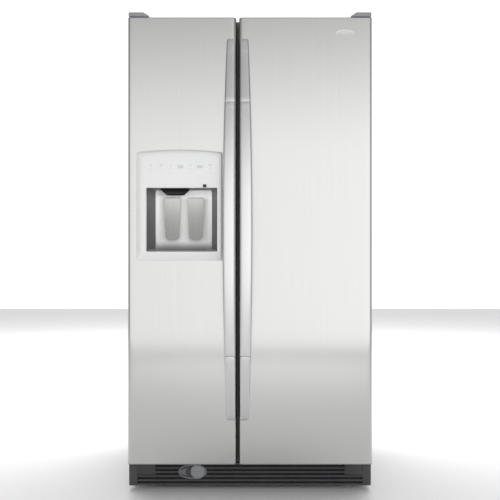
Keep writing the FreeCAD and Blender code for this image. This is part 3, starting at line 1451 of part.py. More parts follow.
def main():
    cabinet_wrapper()
    inner = side - d.steel
    tubs = [
        liner(FREEZER, -inner, freezer_right + d.liner),
        liner(FRIDGE, fridge_left - d.liner, inner),
    ]
    cabinet_foam(tubs)
    cabinet_panels()
    machine_cover()
    base_frame()
    rollers(d.front_roller_at, "front_rollers")
    rollers(d.rear_roller_at, "rear_rollers")
    levelling_legs()
    compressor()
    condenser()
    condenser_fan()
    water_valve()
    door_hinges()
    hinge_covers()
    base_grille()
    water_filter()
    shelves()
    drawers()
    ice_maker()
    controls()

    for door in (FREEZER, FRIDGE):
        door_shell(door)
        gasket(door)
        handle(door)
    hollow = door_liner(FREEZER)
    door_liner(FRIDGE)
    chute_body = ice_chute()
    recess_outside = dispenser_recess(chute_body)
    door_foam(FREEZER, (hollow,), (recess_outside, chute_body))
    door_foam(FRIDGE)
    dispenser_bezel()
    dispenser_keys()
    backplate()
    paddle("ice_paddle", d.ice_paddle_at)
    paddle("water_paddle", d.water_paddle_at)
    shallow, deep = d.bin_shallow, d.bin_deep
    freezer_bins = [
        (d.freezer_bin_low + d.freezer_bin_pitch * step, depth) for step,
        depth in enumerate((shallow, shallow, deep))
    ]
    freezer_bins += [(d.upper_bin_low + d.upper_bin_pitch * step, shallow) for step in range(2)]
    bins(FREEZER, freezer_bins, "freezer_door_bins")
    fridge_bins = [
        (d.fridge_bin_low + d.fridge_bin_pitch * step, depth)
        for step, depth in enumerate((shallow, shallow, deep, deep))
    ]
    bins(FRIDGE, fridge_bins, "fridge_door_bins")
    dairy_lid()
    write_parts()


main()
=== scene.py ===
"""The looks of a side by side refrigerator: brushed doors, bowed handles, ice and water dispenser, grille
and filter, and the shelves, drawers and bins behind the doors, in a pale studio."""

import json
import math

import bmesh
import bpy
import numpy as np
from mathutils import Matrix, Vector


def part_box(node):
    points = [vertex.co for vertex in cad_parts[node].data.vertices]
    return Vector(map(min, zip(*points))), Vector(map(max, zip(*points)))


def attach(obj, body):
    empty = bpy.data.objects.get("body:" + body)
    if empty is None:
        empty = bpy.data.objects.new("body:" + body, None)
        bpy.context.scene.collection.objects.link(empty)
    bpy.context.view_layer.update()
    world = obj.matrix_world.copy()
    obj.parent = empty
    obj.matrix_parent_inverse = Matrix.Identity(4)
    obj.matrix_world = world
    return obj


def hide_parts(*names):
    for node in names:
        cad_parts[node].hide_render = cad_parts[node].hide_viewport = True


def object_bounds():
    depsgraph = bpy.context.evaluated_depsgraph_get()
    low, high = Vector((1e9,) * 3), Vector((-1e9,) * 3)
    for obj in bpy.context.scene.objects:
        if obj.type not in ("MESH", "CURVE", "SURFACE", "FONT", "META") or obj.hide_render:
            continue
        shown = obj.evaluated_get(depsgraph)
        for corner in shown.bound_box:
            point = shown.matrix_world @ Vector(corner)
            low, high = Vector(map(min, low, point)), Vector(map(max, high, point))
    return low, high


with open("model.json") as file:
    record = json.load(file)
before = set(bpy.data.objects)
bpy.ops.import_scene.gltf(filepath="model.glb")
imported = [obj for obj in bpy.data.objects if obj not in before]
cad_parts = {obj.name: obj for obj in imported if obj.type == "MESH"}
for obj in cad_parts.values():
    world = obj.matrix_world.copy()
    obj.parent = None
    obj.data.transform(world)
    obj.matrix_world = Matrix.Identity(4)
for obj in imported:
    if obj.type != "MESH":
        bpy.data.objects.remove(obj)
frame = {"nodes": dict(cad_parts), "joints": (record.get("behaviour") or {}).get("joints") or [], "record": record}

CAD_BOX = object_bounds()
# Shapes are worked out in millimetres. The frame, the shaders, the lamps and the camera are in metres.
MM = 0.001
TURN = 2 * math.pi
# Brightness of the surround in front of the object and behind it.
FRONT_GLOW = 1.34
BACK_GLOW = 1.25
RECORD = frame["record"]
BODY_OF = {node: body for body, nodes in RECORD["behaviour"]["bodies"].items() for node in nodes}
SLOT_OF = {row["node"]: row["material_slot"] for row in RECORD["subparts"]}
COLOUR_OF = {row["slot"]: row["base_color"] for row in RECORD["materials"]}


# Shader maths.

def plug(tree, value, slot):
    """Puts a number, a colour or another socket into a socket."""
    if isinstance(value, Wire):
        tree.links.new(value.socket, slot)
    else:
        slot.default_value = value


class Wire:
    """A shader socket that Python's operators work on. Each operator adds one Math node."""

    def __init__(self, tree, socket):
        self.tree = tree
        self.socket = socket

    def _math(self, operation, *terms):
        node = self.tree.nodes.new("ShaderNodeMath")
        node.operation = operation
        for slot, term in zip(node.inputs, terms):
            plug(self.tree, term, slot)
        return Wire(self.tree, node.outputs[0])

    def __add__(self, other):
        return self._math("ADD", self, other)

    def __sub__(self, other):
        return self._math("SUBTRACT", self, other)

    def __rsub__(self, other):
        return self._math("SUBTRACT", other, self)

    def __mul__(self, other):
        return self._math("MULTIPLY", self, other)

    def __abs__(self):
        return self._math("ABSOLUTE", self)

    __radd__ = __add__
    __rmul__ = __mul__


class Nodes:
    """A node tree, whose nodes all come from the method node()."""

    def __init__(self, owner):
        owner.use_nodes = True
        self.tree = owner.node_tree

    def node(self, kind, settings=None, values=None, output=0):
        """A node of one type: its settings first, then its sockets' values or links."""
        node = self.tree.nodes.new("ShaderNode" + kind)
        for key, setting in (settings or {}).items():
            setattr(node, key, setting)
        for key, value in (values or {}).items():
            plug(self.tree, value, node.inputs[key])
        return Wire(self.tree, node.outputs[output])

    def noise(self, per_metre, detail=3.0, rough=0.5):
        """Noise on Object coordinates, from 0 to 1, with one frequency, or one for each axis."""
        place = self.node("TexCoord", output="Object")
        frequency = per_metre if isinstance(per_metre, tuple) else (per_metre,) * 3
        place = self.node("Mapping", values={"Vector": place, "Scale": frequency})
        values = {"Vector": place, "Scale": 1.0, "Detail": detail, "Roughness": rough}
        return self.node("TexNoise", values=values)

    def band(self, value, low, high, to_low=0.0, to_high=1.0):
        """value between low and high, smoothly remapped."""
        limits = {"From Min": low, "From Max": high, "To Min": to_low, "To Max": to_high}
        return self.node("MapRange", {"interpolation_type": "SMOOTHSTEP"}, {"Value": value, **limits})

    def mix(self, share, first, second):
        """Two colours mixed by a share."""
        return self.node("Mix", {"data_type": "RGBA"}, {0: share, 6: first, 7: second}, 2)


class Finish(Nodes):
    """One material."""

    def __init__(self, name):
        self.material = bpy.data.materials.new(name)
        super().__init__(self.material)
        self.shader = self.tree.nodes["Principled BSDF"]

    def tone(self, slot, value, low, high, dark, light):
        """The slot's colour, times dark where the value is low and times light where it is high."""
        colour = COLOUR_OF[slot]
        return self.mix(self.band(value, low, high), tint(colour, dark), tint(colour, light))

    def bump(self, height, distance, strength):
        """A surface direction that leans with the slope of height * distance."""
        return self.node("Bump", values={"Height": height, "Distance": distance, "Strength": strength})

    def set(self, **values):
        """Fills the shader's sockets, named with underscores for their spaces, and returns the material."""
        for key, value in values.items():
            plug(self.tree, value, self.shader.inputs[key.replace("_", " ")])
        return self.material


def tint(colour, share):
    """A colour made lighter or darker by a share of itself."""
    return (*[min(1.0, part * share) for part in colour[:3]], 1.0)


def brushed_steel(slot, rough=0.15, grain=520, anisotropy=0.9):
    """Stainless sheet: noise drawn out along the grain changes its roughness and lifts its surface, and broad
    smudges dull the polish."""
    finish = Finish(slot)
    stretch = (grain, grain, grain / 90)
    hair = finish.noise(stretch, 4, 0.7)
    streak = finish.noise(tuple(part / 9 for part in stretch), 3)
    smudge = finish.noise((3.1, 3.1, 2.2), 4, 0.6)
    shade = finish.tone(slot, streak * 0.3 + hair, 0.35, 0.95, 0.975, 1.015)
    dull = (hair - 0.5) * 0.05 + (streak - 0.5) * 0.012 + finish.band(smudge, 0.45, 0.75) * 0.01 + rough
    return finish.set(
        Base_Color=shade, Metallic=1.0, Roughness=dull, Anisotropic=anisotropy,
        Normal=finish.bump(hair, 0.00001, 0.5),
    )


def moulded(slot, rough=0.42, pebble=1500, relief=0.00003, mottle=0.04, coat=0.0, alpha=1.0, name=None,
            shade=1.0, shine=0.5):
    """Moulded plastic: a fine pebbled skin, slow flow marks in its colour, and patches rubbed smoother by
    hands."""
    finish = Finish(name or slot)
    skin = finish.noise(pebble, 2, 0.6)
    flow = finish.noise((14, 14, 5), 4)
    rubbed = finish.noise((7, 7, 9), 3)
    tone = finish.tone(slot, flow, 0.3, 0.7, shade * (1 - mottle), shade * (1 + mottle))
    dull = (skin - 0.5) * 0.14 + (flow - 0.5) * 0.08 - finish.band(rubbed, 0.5, 0.8) * 0.06 + rough
    values = {"Base_Color": tone, "Roughness": dull, "Normal": finish.bump(skin, relief, 0.6),
              "Coat_Weight": coat, "Specular_IOR_Level": shine}
    if alpha < 1:
        values["Alpha"] = alpha + (flow - 0.5) * 0.08
    return finish.set(**values)


def enamel(slot, rough=0.45, pebble=330, relief=0.00022):
    """Textured enamel: an orange peel of two sizes of pebble, with dust in its hollows."""
    finish = Finish(slot)
    large = finish.noise(pebble, 2)
    small = finish.noise(pebble * 4, 2)
    dust = finish.noise((6, 6, 2.5), 5, 0.65)
    peel = large * 0.75 + small * 0.25
    tone = finish.tone(slot, dust - peel * 0.3, 0.2, 0.6, 0.95, 1.06)
    dull = (peel - 0.5) * 0.2 + (dust - 0.5) * 0.05 + rough
    return finish.set(Base_Color=tone, Roughness=dull, Normal=finish.bump(peel, relief, 0.8))


def bare_metal(slot, rough=0.38, spangle=70):
    """Zinc plated sheet: crystal patches that each catch the light in their own way, and water marks."""
    finish = Finish(slot)
    place = finish.node("TexCoord", output="Object")
    crystal = finish.node("TexVoronoi", values={"Vector": place, "Scale": spangle}, output="Distance")
    marks = finish.noise((9, 9, 6), 5, 0.6)
    tone = finish.tone(slot, marks, 0.3, 0.7, 0.92, 1.04)
    dull = crystal * 0.15 + (marks - 0.5) * 0.06 + rough
    normal = finish.bump(crystal, 0.00004, 0.5)
    return finish.set(Base_Color=tone, Metallic=1.0, Roughness=dull, Normal=normal)


def tray_painted_shade(slot, low, high):
    """Moulded plastic with painted shade: its colour darkens to grey from the height high down to the height low,
    for the shade in the bottom of the well.
    """
    finish = Finish("tray_painted_shade")
    place = finish.node("TexCoord", output="Object")
    height = finish.node("SeparateXYZ", values={"Vector": place}, output="Z")
    skin = finish.noise(1500, 2, 0.6)
    flow = finish.noise((14, 14, 5), 4)
    tone = finish.tone(slot, height + flow * 0.004, low * MM, high * MM, 0.35, 1.12)
    dull = (skin - 0.5) * 0.1 + 0.42
    return finish.set(Base_Color=tone, Roughness=dull, Normal=finish.bump(skin, 0.00003, 0.6))


def soft_seal(slot):
    """Extruded vinyl: matt, with dust and slight waves along its length."""
    finish = Finish(slot)
    wave = finish.noise((40, 40, 16), 2)
    dust = finish.noise(300, 4)
    tone = finish.tone(slot, dust, 0.4, 0.7, 0.8, 1.25)
    dull = (dust - 0.5) * 0.2 + 0.6
    return finish.set(Base_Color=tone, Roughness=dull, Normal=finish.bump(wave, 0.0004, 0.6))


def foam_block(slot):
    """Foamed insulation: open cells of several sizes."""
    finish = Finish(slot)
    place = finish.node("TexCoord", output="Object")
    cell = finish.node("TexVoronoi", values={"Vector": place, "Scale": 420}, output="Distance")
    cloud = finish.noise(60, 4)
    tone = finish.tone(slot, cloud, 0.3, 0.7, 0.85, 1.1)
    return finish.set(Base_Color=tone, Roughness=cloud * 0.2 + 0.75, Normal=finish.bump(cell, 0.001, 0.8))


def shelf_pane(slot):
    """Tempered glass: nearly clear, with a green body, faint rollers' waves and wiped smears."""
    finish = Finish(slot)
    smear = finish.noise((9, 22, 9), 5, 0.6)
    wave = finish.noise((6, 40, 6), 2)
    tone = finish.mix(finish.band(smear, 0.4, 0.8), (0.62, 0.80, 0.74, 1), (0.80, 0.90, 0.87, 1))
    return finish.set(
        Base_Color=tone, Roughness=finish.band(smear, 0.45, 0.8, 0.03, 0.16), Alpha=smear * 0.12 + 0.26,
        Normal=finish.bump(wave, 0.0002, 0.5),
    )


FINISHES = {slot: make(slot, **values) for slot, make, values in (
    ("cabinet_paint", enamel, {}),
    ("stainless", brushed_steel, {}),
    ("stainless_bar", brushed_steel, dict(rough=0.26, grain=700, anisotropy=0.6)),
    ("grey_trim", moulded, dict(rough=0.46)),
    ("dark_trim", moulded, dict(rough=0.34, mottle=0.1)),
    ("bezel_white", moulded, dict(rough=0.33, pebble=2200, mottle=0.012, coat=0.15)),
    ("recess_grey", moulded, dict(rough=0.5, shade=0.38)),
    ("key_grey", moulded, dict(rough=0.32, mottle=0.02)),
    ("lever_grey", moulded, dict(rough=0.5, shade=0.8)),
    ("liner_white", moulded, dict(rough=0.28, pebble=500, relief=0.00005, mottle=0.015, coat=0.2)),
    ("foam", foam_block, {}),
    ("seal", soft_seal, {}),
    ("bare_steel", bare_metal, {}),
    ("tyre_grey", moulded, dict(rough=0.55)),
    ("hinge_black", enamel, dict(rough=0.4, pebble=900, relief=0.00005)),
    ("compressor_black", enamel, dict(rough=0.25, pebble=120)),
    ("coil_black", enamel, dict(rough=0.4, pebble=600, relief=0.0001)),
    ("fan_plastic", moulded, dict(rough=0.4)),
    ("clear_glass", shelf_pane, {}),
    ("frame_white", moulded, dict(rough=0.36, mottle=0.015)),
    ("wire_white", enamel, dict(rough=0.3, pebble=700, relief=0.00008)),
    ("clear_plastic", moulded, dict(rough=0.14, mottle=0.03, alpha=0.42)),
    ("filter_white", moulded, dict(rough=0.34, mottle=0.02)),
)}


# Surfaces. Each is a pair: an array of points and a list of faces.

def rectangle(low, high):
    """An upright rectangle's corners, run anticlockwise from its low corner."""
    return [(low[0], low[1]), (high[0], low[1]), (high[0], high[1]), (low[0], high[1])]


def rounded(outline, radius, inset=0.0, arc=5, run=1):
    """A convex outline run anticlockwise. Each side moves inwards by inset, neighbouring sides meet where
    their lines cross, at corner + inset * (n0 + n1) / (1 + n0.n1), and an arc of the radius joins them round
    the centre that lies the same way inwards by the radius. run is the number of steps along each straight
    side."""
    corners = np.asarray(outline, float)
    way = np.roll(corners, -1, 0) - corners
    way /= np.linalg.norm(way, axis=1)[:, None]
    after = np.stack((-way[:, 1], way[:, 0]), 1)
    before = np.roll(after, 1, 0)
    inward = (before + after) / (1 + (before * after).sum(1))[:, None]
    radius = np.maximum(np.broadcast_to(np.asarray(radius, float), len(corners)) - inset, 0.1)
    centre = corners + inward * (inset + radius)[:, None]
    start = np.arctan2(-before[:, 1], -before[:, 0])
    sweep = (np.arctan2(-after[:, 1], -after[:, 0]) - start) % TURN
    angle = start[:, None] + sweep[:, None] * np.linspace(0, 1, arc + 1)
    ring = centre[:, None] + radius[:, None, None] * np.stack((np.cos(angle), np.sin(angle)), 2)
    share = np.arange(1, run)[None, :, None] / run
    gap = np.roll(ring[:, :1], -1, 0) - ring[:, -1:]
    return np.concatenate((ring, ring[:, -1:] + gap * share), 1).reshape(-1, 2)


def quarter(count):
    """Angles of a quarter turn."""
    return np.linspace(0, math.pi / 2, count)


def smooth(value, start, end):
    """A smooth step from 0 to 1 between start and end: share * share * (3 - 2 * share)."""
    share = np.clip((value - start) / (end - start), 0, 1)
    return share * share * (3 - 2 * share)


def ellipse(centre, reach, count=48, power=2.0):
    """A closed curve: centre + reach * sign(c) |c| ** (2 / power) for the cosine and sine of each angle.
    Power 2 is an ellipse and a higher power is squarer."""
    angle = np.linspace(0, TURN, count, endpoint=False)
    wave = np.stack((np.cos(angle), np.sin(angle)), 1)
    return np.asarray(centre) + np.asarray(reach) * np.sign(wave) * np.abs(wave) ** (2 / power)


ORDER = {"xy": (0, 1, 2), "xz": (0, 2, 1), "yz": (2, 0, 1)}


def lift(outline, level, plane):
    """Sets a flat outline at a level along the third axis."""
    flat = np.column_stack((outline, np.full(len(outline), level)))
    return flat[:, ORDER[plane]]


def loft(rings, wrap=False):
    """A surface through closed rings of equally many points. Its two ends are closed by flat faces, or, with
    wrap, its last ring joins its first."""
    rings = np.asarray(rings)
    index = np.arange(rings.shape[0] * rings.shape[1]).reshape(rings.shape[:2])
    first = index if wrap else index[:-1]
    second = np.roll(index, -1, 0) if wrap else index[1:]
    quads = np.stack((first, np.roll(first, -1, 1), np.roll(second, -1, 1), second), -1).reshape(-1, 4)
    ends = [] if wrap else [index[0][::-1].tolist(), index[-1].tolist()]
    return rings.reshape(-1, 3), quads.tolist() + ends


def sheet(points, keep=None):
    """An open surface over a grid of points. keep marks the grid's cells that are there."""
    index = np.arange(points.shape[0] * points.shape[1]).reshape(points.shape[:2])
    quads = np.stack((index[:-1, :-1], index[:-1, 1:], index[1:, 1:], index[1:, :-1]), -1)
    quads = quads.reshape(-1, 4) if keep is None else quads[keep]
    return points.reshape(-1, 3), quads.tolist()


def stack(flat, radius, table, plane="xz", wrap=False):
    """A surface through copies of one rounded outline: the table gives each copy's inset and level."""
    return loft([lift(rounded(flat, radius, inset), level, plane) for inset, level in table], wrap)


def slab(outline, start, end, radius, edge, plane="xy"):
    """A solid of one outline between two levels with rounded rims: at angle a round a rim the outline is
    inset by edge * (1 - sin a) at depth edge * (1 - cos a)."""
    angle = quarter(4)
    inset = edge * (1 - np.sin(angle))
    depth = edge * (1 - np.cos(angle))
    insets = np.concatenate((inset, inset[::-1]))
    levels = np.concatenate((start + depth, (end - depth)[::-1]))
    return stack(outline, radius, zip(insets, levels), plane)


def box(low, high, edge, plane="xy"):
    """A block with every edge rounded."""
    axes = {"xy": (0, 1, 2), "xz": (0, 2, 1), "yz": (1, 2, 0)}[plane]
    flat = rectangle([low[axes[0]], low[axes[1]]], [high[axes[0]], high[axes[1]]])
    return slab(flat, low[axes[2]], high[axes[2]], edge, edge, plane)


def oval(centre, table, plane="xz", count=72, power=2.15, wrap=False):
    """A surface through ovals: the table gives each one's two reaches and its level."""
    return loft([lift(ellipse(centre, row[:2], count, power), row[2], plane) for row in table], wrap)


def lathe(profile, centre, plane, count=48, wrap=False):
    """A turned solid: circles of the profile's radii at its levels. With wrap, it has a bore."""
    return oval(centre, [(radius, radius, level) for radius, level in profile], plane, count, 2.0, wrap)


def tub(low, high, wall, radius, lip=0.0, flare=0.0):
    """An open-topped box, one surface from the middle of its underside, up its outside, over its rim, and
    down inside. The walls lean outwards by flare between bottom and top, and the rim stands out by lip."""
    turn = quarter(4)
    foot = radius * 0.5
    outer = [(flare + lip + foot * (1 - math.sin(a)), low[2] + foot * (1 - math.cos(a))) for a in turn]
    collar = [(lip, high[2] - 6), (0.0, high[2] - 5), (0.0, high[2] - 1), (1, high[2])]
    rim = [(lip + wall, high[2]), (lip + wall + 1, high[2] - 1)]
    inner = [(inset + wall, level + wall) for inset, level in outer[::-1]]
    return stack(rectangle(low[:2], high[:2]), radius, outer + collar + rim + inner, "xy")


# Pieces.

def placed(name, data):
    """A new object of the scene."""
    item = bpy.data.objects.new(name, data)
    bpy.context.scene.collection.objects.link(item)
    return item


def piece(name, surfaces, slot, body, replaces=(), finish=None, wall=None):
    """Joins surfaces into one object, gives it its finish and puts it on its body."""
    mesh = bpy.data.meshes.new(name)
    points, faces, count = [], [], 0
    for place, shape in surfaces:
        points.append(place)
        faces += [[corner + count for corner in face] for face in shape]
        count += len(place)
    mesh.from_pydata((np.concatenate(points) * MM).tolist(), [], faces)
    work = bmesh.new()
    work.from_mesh(mesh)
    bmesh.ops.remove_doubles(work, verts=work.verts, dist=1e-6)
    if wall is None:
        bmesh.ops.recalc_face_normals(work, faces=work.faces)
    work.to_mesh(mesh)
    work.free()
    return settle(name, mesh, slot, body, replaces, finish, wall)


def sharpen_rims(mesh):
    """Marks an open surface's border sharp, so that its rim stays crisp once the wall is added."""
    work = bmesh.new()
    work.from_mesh(mesh)
    for border in (item for item in work.edges if item.is_boundary):
        border.smooth = False
    work.to_mesh(mesh)
    work.free()


def settle(name, mesh, slot, body, replaces=(), finish=None, wall=None, crease=38, edge=0.0):
    """Makes the object of a mesh, with its modifiers, smooth shading, finish and body."""
    mesh.shade_smooth()
    if not edge:
        mesh.set_sharp_from_angle(angle=math.radians(crease))
    if wall is not None:
        sharpen_rims(mesh)
    item = placed(name, mesh)
    mesh.materials.clear()
    mesh.materials.append(finish or FINISHES[slot])
    if wall is not None:
        solid = item.modifiers.new("wall", "SOLIDIFY")
        solid.thickness = wall * MM
        solid.offset = -1
        solid.use_even_offset = True
    if edge:
        bevel = item.modifiers.new("edge", "BEVEL")
        bevel.width = edge * MM
        bevel.segments = 2
        bevel.limit_method = "ANGLE"
        bevel.angle_limit = math.radians(crease)
        bevel.harden_normals = True
    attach(item, body)
    if replaces:
        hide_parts(*replaces)
    return item


def softened(node, edge, finish=None):
    """The same shape as a CAD node with its edges eased: a merged copy of its mesh with a bevel."""
    work = bmesh.new()
    work.from_mesh(frame["nodes"][node].data)
    bmesh.ops.remove_doubles(work, verts=work.verts, dist=1e-6)
    bmesh.ops.dissolve_limit(work, angle_limit=math.radians(0.5), verts=work.verts, edges=work.edges)
    mesh = bpy.data.meshes.new(node + "_eased")
    work.to_mesh(mesh)
    work.free()
    name = node + "_eased"
    return settle(name, mesh, SLOT_OF[node], BODY_OF[node], [node], finish, crease=30, edge=edge)


def corners(node):
    """The two corners of a CAD node's box, in millimetres."""
    return [np.array(corner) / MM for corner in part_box(node)]


def frame_joint(name):
    """Where a joint's axis passes, in millimetres."""
    return np.array(next(joint["pos_m"] for joint in frame["joints"] if joint["name"] == name)) / MM


def show(name, surfaces, node, **settings):
    """A piece that stands for one CAD node, with that node's body and slot."""
    return piece(name, surfaces, SLOT_OF[node], BODY_OF[node], [node], **settings)


# The radius of a door's upright front corners.
DOOR_CORNER = 14
MOUTH_WALL = 3
RECESS_LOW, RECESS_HIGH = corners("dispenser_recess")
MOUTH = (RECESS_LOW[[0, 2]] + MOUTH_WALL, RECESS_HIGH[[0, 2]] - MOUTH_WALL)
# The well's sides lean in by this much over its depth.
DRAFT = 26
# The left bottom hinge bracket: its two ends across, and its lower edge.
BRACKET = (corners("door_hinges")[0][0], corners("door_hinges")[0][0] + 92, 96)
# The record's openings, each as the two corners of its box, in millimetres.
OPENINGS = {row["name"]: np.array(row["box_m"]) / MM for row in RECORD["physics"]["openings"]}


# Doors.

def door_skin(side, window=None):
    """Folded sheet. Across, its path runs up one side, round a quarter circle, over the front, round another
    and back down; it is carried up the door, with a hole where the window is."""
    low, high = corners(side + "_door_skin")
    radius = DOOR_CORNER
    turn = quarter(10)
    middle = np.linspace(low[0] + radius, high[0] - radius, 24)
    if window:
        middle = np.unique(np.concatenate((middle, [window[0][0], window[1][0]])))
    left = np.stack((low[0] + radius * (1 - np.cos(turn)), low[1] + radius * (1 - np.sin(turn))), 1)
    right = np.stack((high[0] - radius * (1 - np.sin(turn)), low[1] + radius * (1 - np.cos(turn))), 1)
    front = [(place, low[1]) for place in middle[1:-1]]
    path = np.concatenate(([[low[0], high[1]]], left, front, right, [[high[0], high[1]]]))
    rows = np.linspace(low[2], high[2], 12)
    if window:
        rows = np.unique(np.concatenate((rows, [window[0][1], window[1][1]])))
    grid = np.array([lift(path, level, "xy") for level in rows])
    keep = None
    if window:
        centre = (grid[:-1, :-1] + grid[1:, 1:]) / 2
        inside = (centre[..., 0] > window[0][0]) & (centre[..., 0] < window[1][0])
        inside &= (centre[..., 2] > window[0][1]) & (centre[..., 2] < window[1][1])
        inside &= centre[..., 1] < low[1] + 1
        keep = ~inside
    show(side + "_door_panel", [sheet(grid, keep)], side + "_door_skin", wall=1)


def door_end_caps(side):
    """Moulded caps that close the folded sheet above and below, with a fine shadow line under each rim."""
    low, high = corners(side + "_door_caps")
    flat = rectangle(low[:2], high[:2])
    radius = [DOOR_CORNER, DOOR_CORNER, 2, 2]
    rim = 3
    surfaces = []
    for start, end in ((low[2], low[2] + rim), (high[2] - rim, high[2])):
        surfaces.append(slab(flat, start, end, radius, 0.9))
    hinge = frame_joint(side + "_door_hinge")
    for start, end in ((low[2] + 0.2, low[2] - 1.2), (high[2] - 0.2, high[2] + 1.2)):
        collar = [(7, start), (11, start), (10, end), (7, end)]
        surfaces.append(lathe(collar, hinge[:2], "xy", 32, wrap=True))
    show(side + "_end_caps", surfaces, side + "_door_caps")


def door_seal(side):
    """The bellows of a magnetic gasket: a flat foot, two folds and the magnet's square lip, carried round
    the door."""
    low, high = corners(side + "_gasket")
    back, lip = low[1], high[1]
    wide = 21
    profile = [
        (1, back), (1, back + 2), (4, back + 3.5), (0.5, back + 6),
        (0, back + 7.5), (0, lip - 0.6), (0.8, lip), (11, lip), (12, lip - 1),
        (12, back + 7), (15, back + 6), (12, back + 3.5), (wide - 2, back + 2.5),
        (wide, back + 1), (wide, back),
    ]
    bellows = stack(rectangle(low[[0, 2]], high[[0, 2]]), 5, profile, wrap=True)
    show(side + "_door_seal", [bellows], side + "_gasket")


def door_inner(side, bulge=None):
    """The thermoformed inner door: a flat panel, two upright dykes with rounded shoulders and shelf nubs."""
    node = side + "_door_liner"
    low, high = corners(node)
    bins_low, bins_high = corners(side + "_door_bins")
    skin = 3
    back = low[1] + skin
    dyke = 21
    flat = rectangle(low[[0, 2]], high[[0, 2]])
    if bulge:
        hole = rectangle(*[corner[[0, 2]] for corner in bulge])
        rings = [lift(rounded(flat, 4, inset), low[1] + level, "xz")
                 for inset, level in ((1, 0), (0, 1), (0, 2), (1, 3))]
        rings += [lift(rounded(hole, 14, 1), low[1] + level, "xz") for level in (3, 0)]
        surfaces = [loft(rings, wrap=True)]
        turn = quarter(5)
        deep, edge, thin = bulge[1][1], 10, 2.5
        outer = [(edge * (1 - math.sin(a)), deep - edge * (1 - math.cos(a))) for a in turn]
        inner = [(thin + inset, level - thin) for inset, level in outer[::-1]]
        table = outer + [(0, back - 1), (thin, back - 1)] + inner
        surfaces.append(stack(hole, 14, table))
    else:
        surfaces = [slab(flat, low[1], back, 4, 1.2, "xz")]
    base, top = 165, 1695
    spans = [(base, bulge[0][2] - 1), (bulge[1][2] + 1, top)] if bulge else [(base, top)]
    for inner, sign in ((bins_low[0] - 1, -1), (bins_high[0] + 1, 1)):
        edges = sorted((inner, inner + sign * dyke))
        for start, end in spans:
            surfaces.append(box((edges[0], back - 2, start), (edges[1], high[1], end), 7))
    left, right = bins_low[0] - 1 - dyke, bins_high[0] + 1 + dyke
    for level in (base, top - 16):
        surfaces.append(box((left, back - 2, level), (right, back + 28, level + 16), 6))
    show(side + "_door_inner", surfaces, node)


def handle(side):
    """A bar bowed towards the user and swelling sideways towards its middle. Both of its faces and its outer
    side are arcs in height, end + rise * (1 - t * t) for t from -1 to 1, and its section is a squarish
    curve."""
    low, high = corners(side + "_handle_ends")
    grip_low, grip_high = corners(side + "_handle_grip")
    door = corners(side + "_door_skin")[0][1]
    free = 1 if side == "freezer" else -1
    inner = (grip_high if free > 0 else grip_low)[0]
    wide = grip_high[0] - grip_low[0]
    tip_wide, tip_reach, clearance = 31, 14, 38
    middle, half = (low[2] + high[2]) / 2, (high[2] - low[2]) / 2

    def rim(distance, soft):
        """How far a rounded rim draws in at a distance from its end."""
        return soft * (1 - np.sqrt(1 - (1 - np.clip(distance / soft, 0, 1)) ** 2))

    def bar(start, end, soft_start, soft_end):
        curve = 1 - np.cos(quarter(6))
        level = np.linspace(start, end, max(12, int((end - start) / 18)))
        level = np.unique(np.concatenate((level, start + soft_start * curve, end - soft_end * curve)))
        t = (level - middle) / half
        bow = np.clip(1 - t * t, 0, 1)
        reach = tip_wide + (wide - tip_wide) * bow
        front = door - tip_reach - (door - tip_reach - grip_low[1]) * bow
        back = door - clearance * bow - 0.3
        ease = rim(level - start, soft_start) + rim(end - level, soft_end)
        curve = ellipse((0, 0), (1, 1), 44, 3.0)
        rings = np.empty((len(level), len(curve), 3))
        rings[..., 0] = (inner - free * reach / 2)[:, None] + curve[:, 0] * (reach / 2 - ease)[:, None]
        depth = (back - front) / 2 - ease * 0.9
        rings[..., 1] = ((front + back) / 2)[:, None] + curve[:, 1] * depth[:, None]
        rings[..., 2] = level[:, None]
        return loft(rings)

    seam = 0.7
    fine, tip = 0.9, 5
    show(side + "_bar_grip", [bar(grip_low[2], grip_high[2], fine, fine)], side + "_handle_grip")
    ends = [bar(low[2], grip_low[2] - seam, tip, fine), bar(grip_high[2] + seam, high[2], fine, tip)]
    show(side + "_bar_ends", ends, side + "_handle_ends")


def emblem():
    """A plain flat oval lens on the fridge door, with a fine raised rim."""
    low, high = corners("fridge_door_skin")
    centre = (high[0] - 102, high[2] - 53)
    table = [(1.0, 0.2), (1.0, -0.6), (0.97, -0.95), (0.93, -1.05), (0.90, -1.0), (0.6, -1.02), (0.2, -1.03)]
    reach, rise = 36, 11
    table = [(reach * share, rise * share, low[1] + depth) for share, depth in table]
    lens = oval(centre, table, count=56, power=2.2)
    piece("door_emblem", [lens], "stainless_bar", "fridge_door")


# Dispenser.

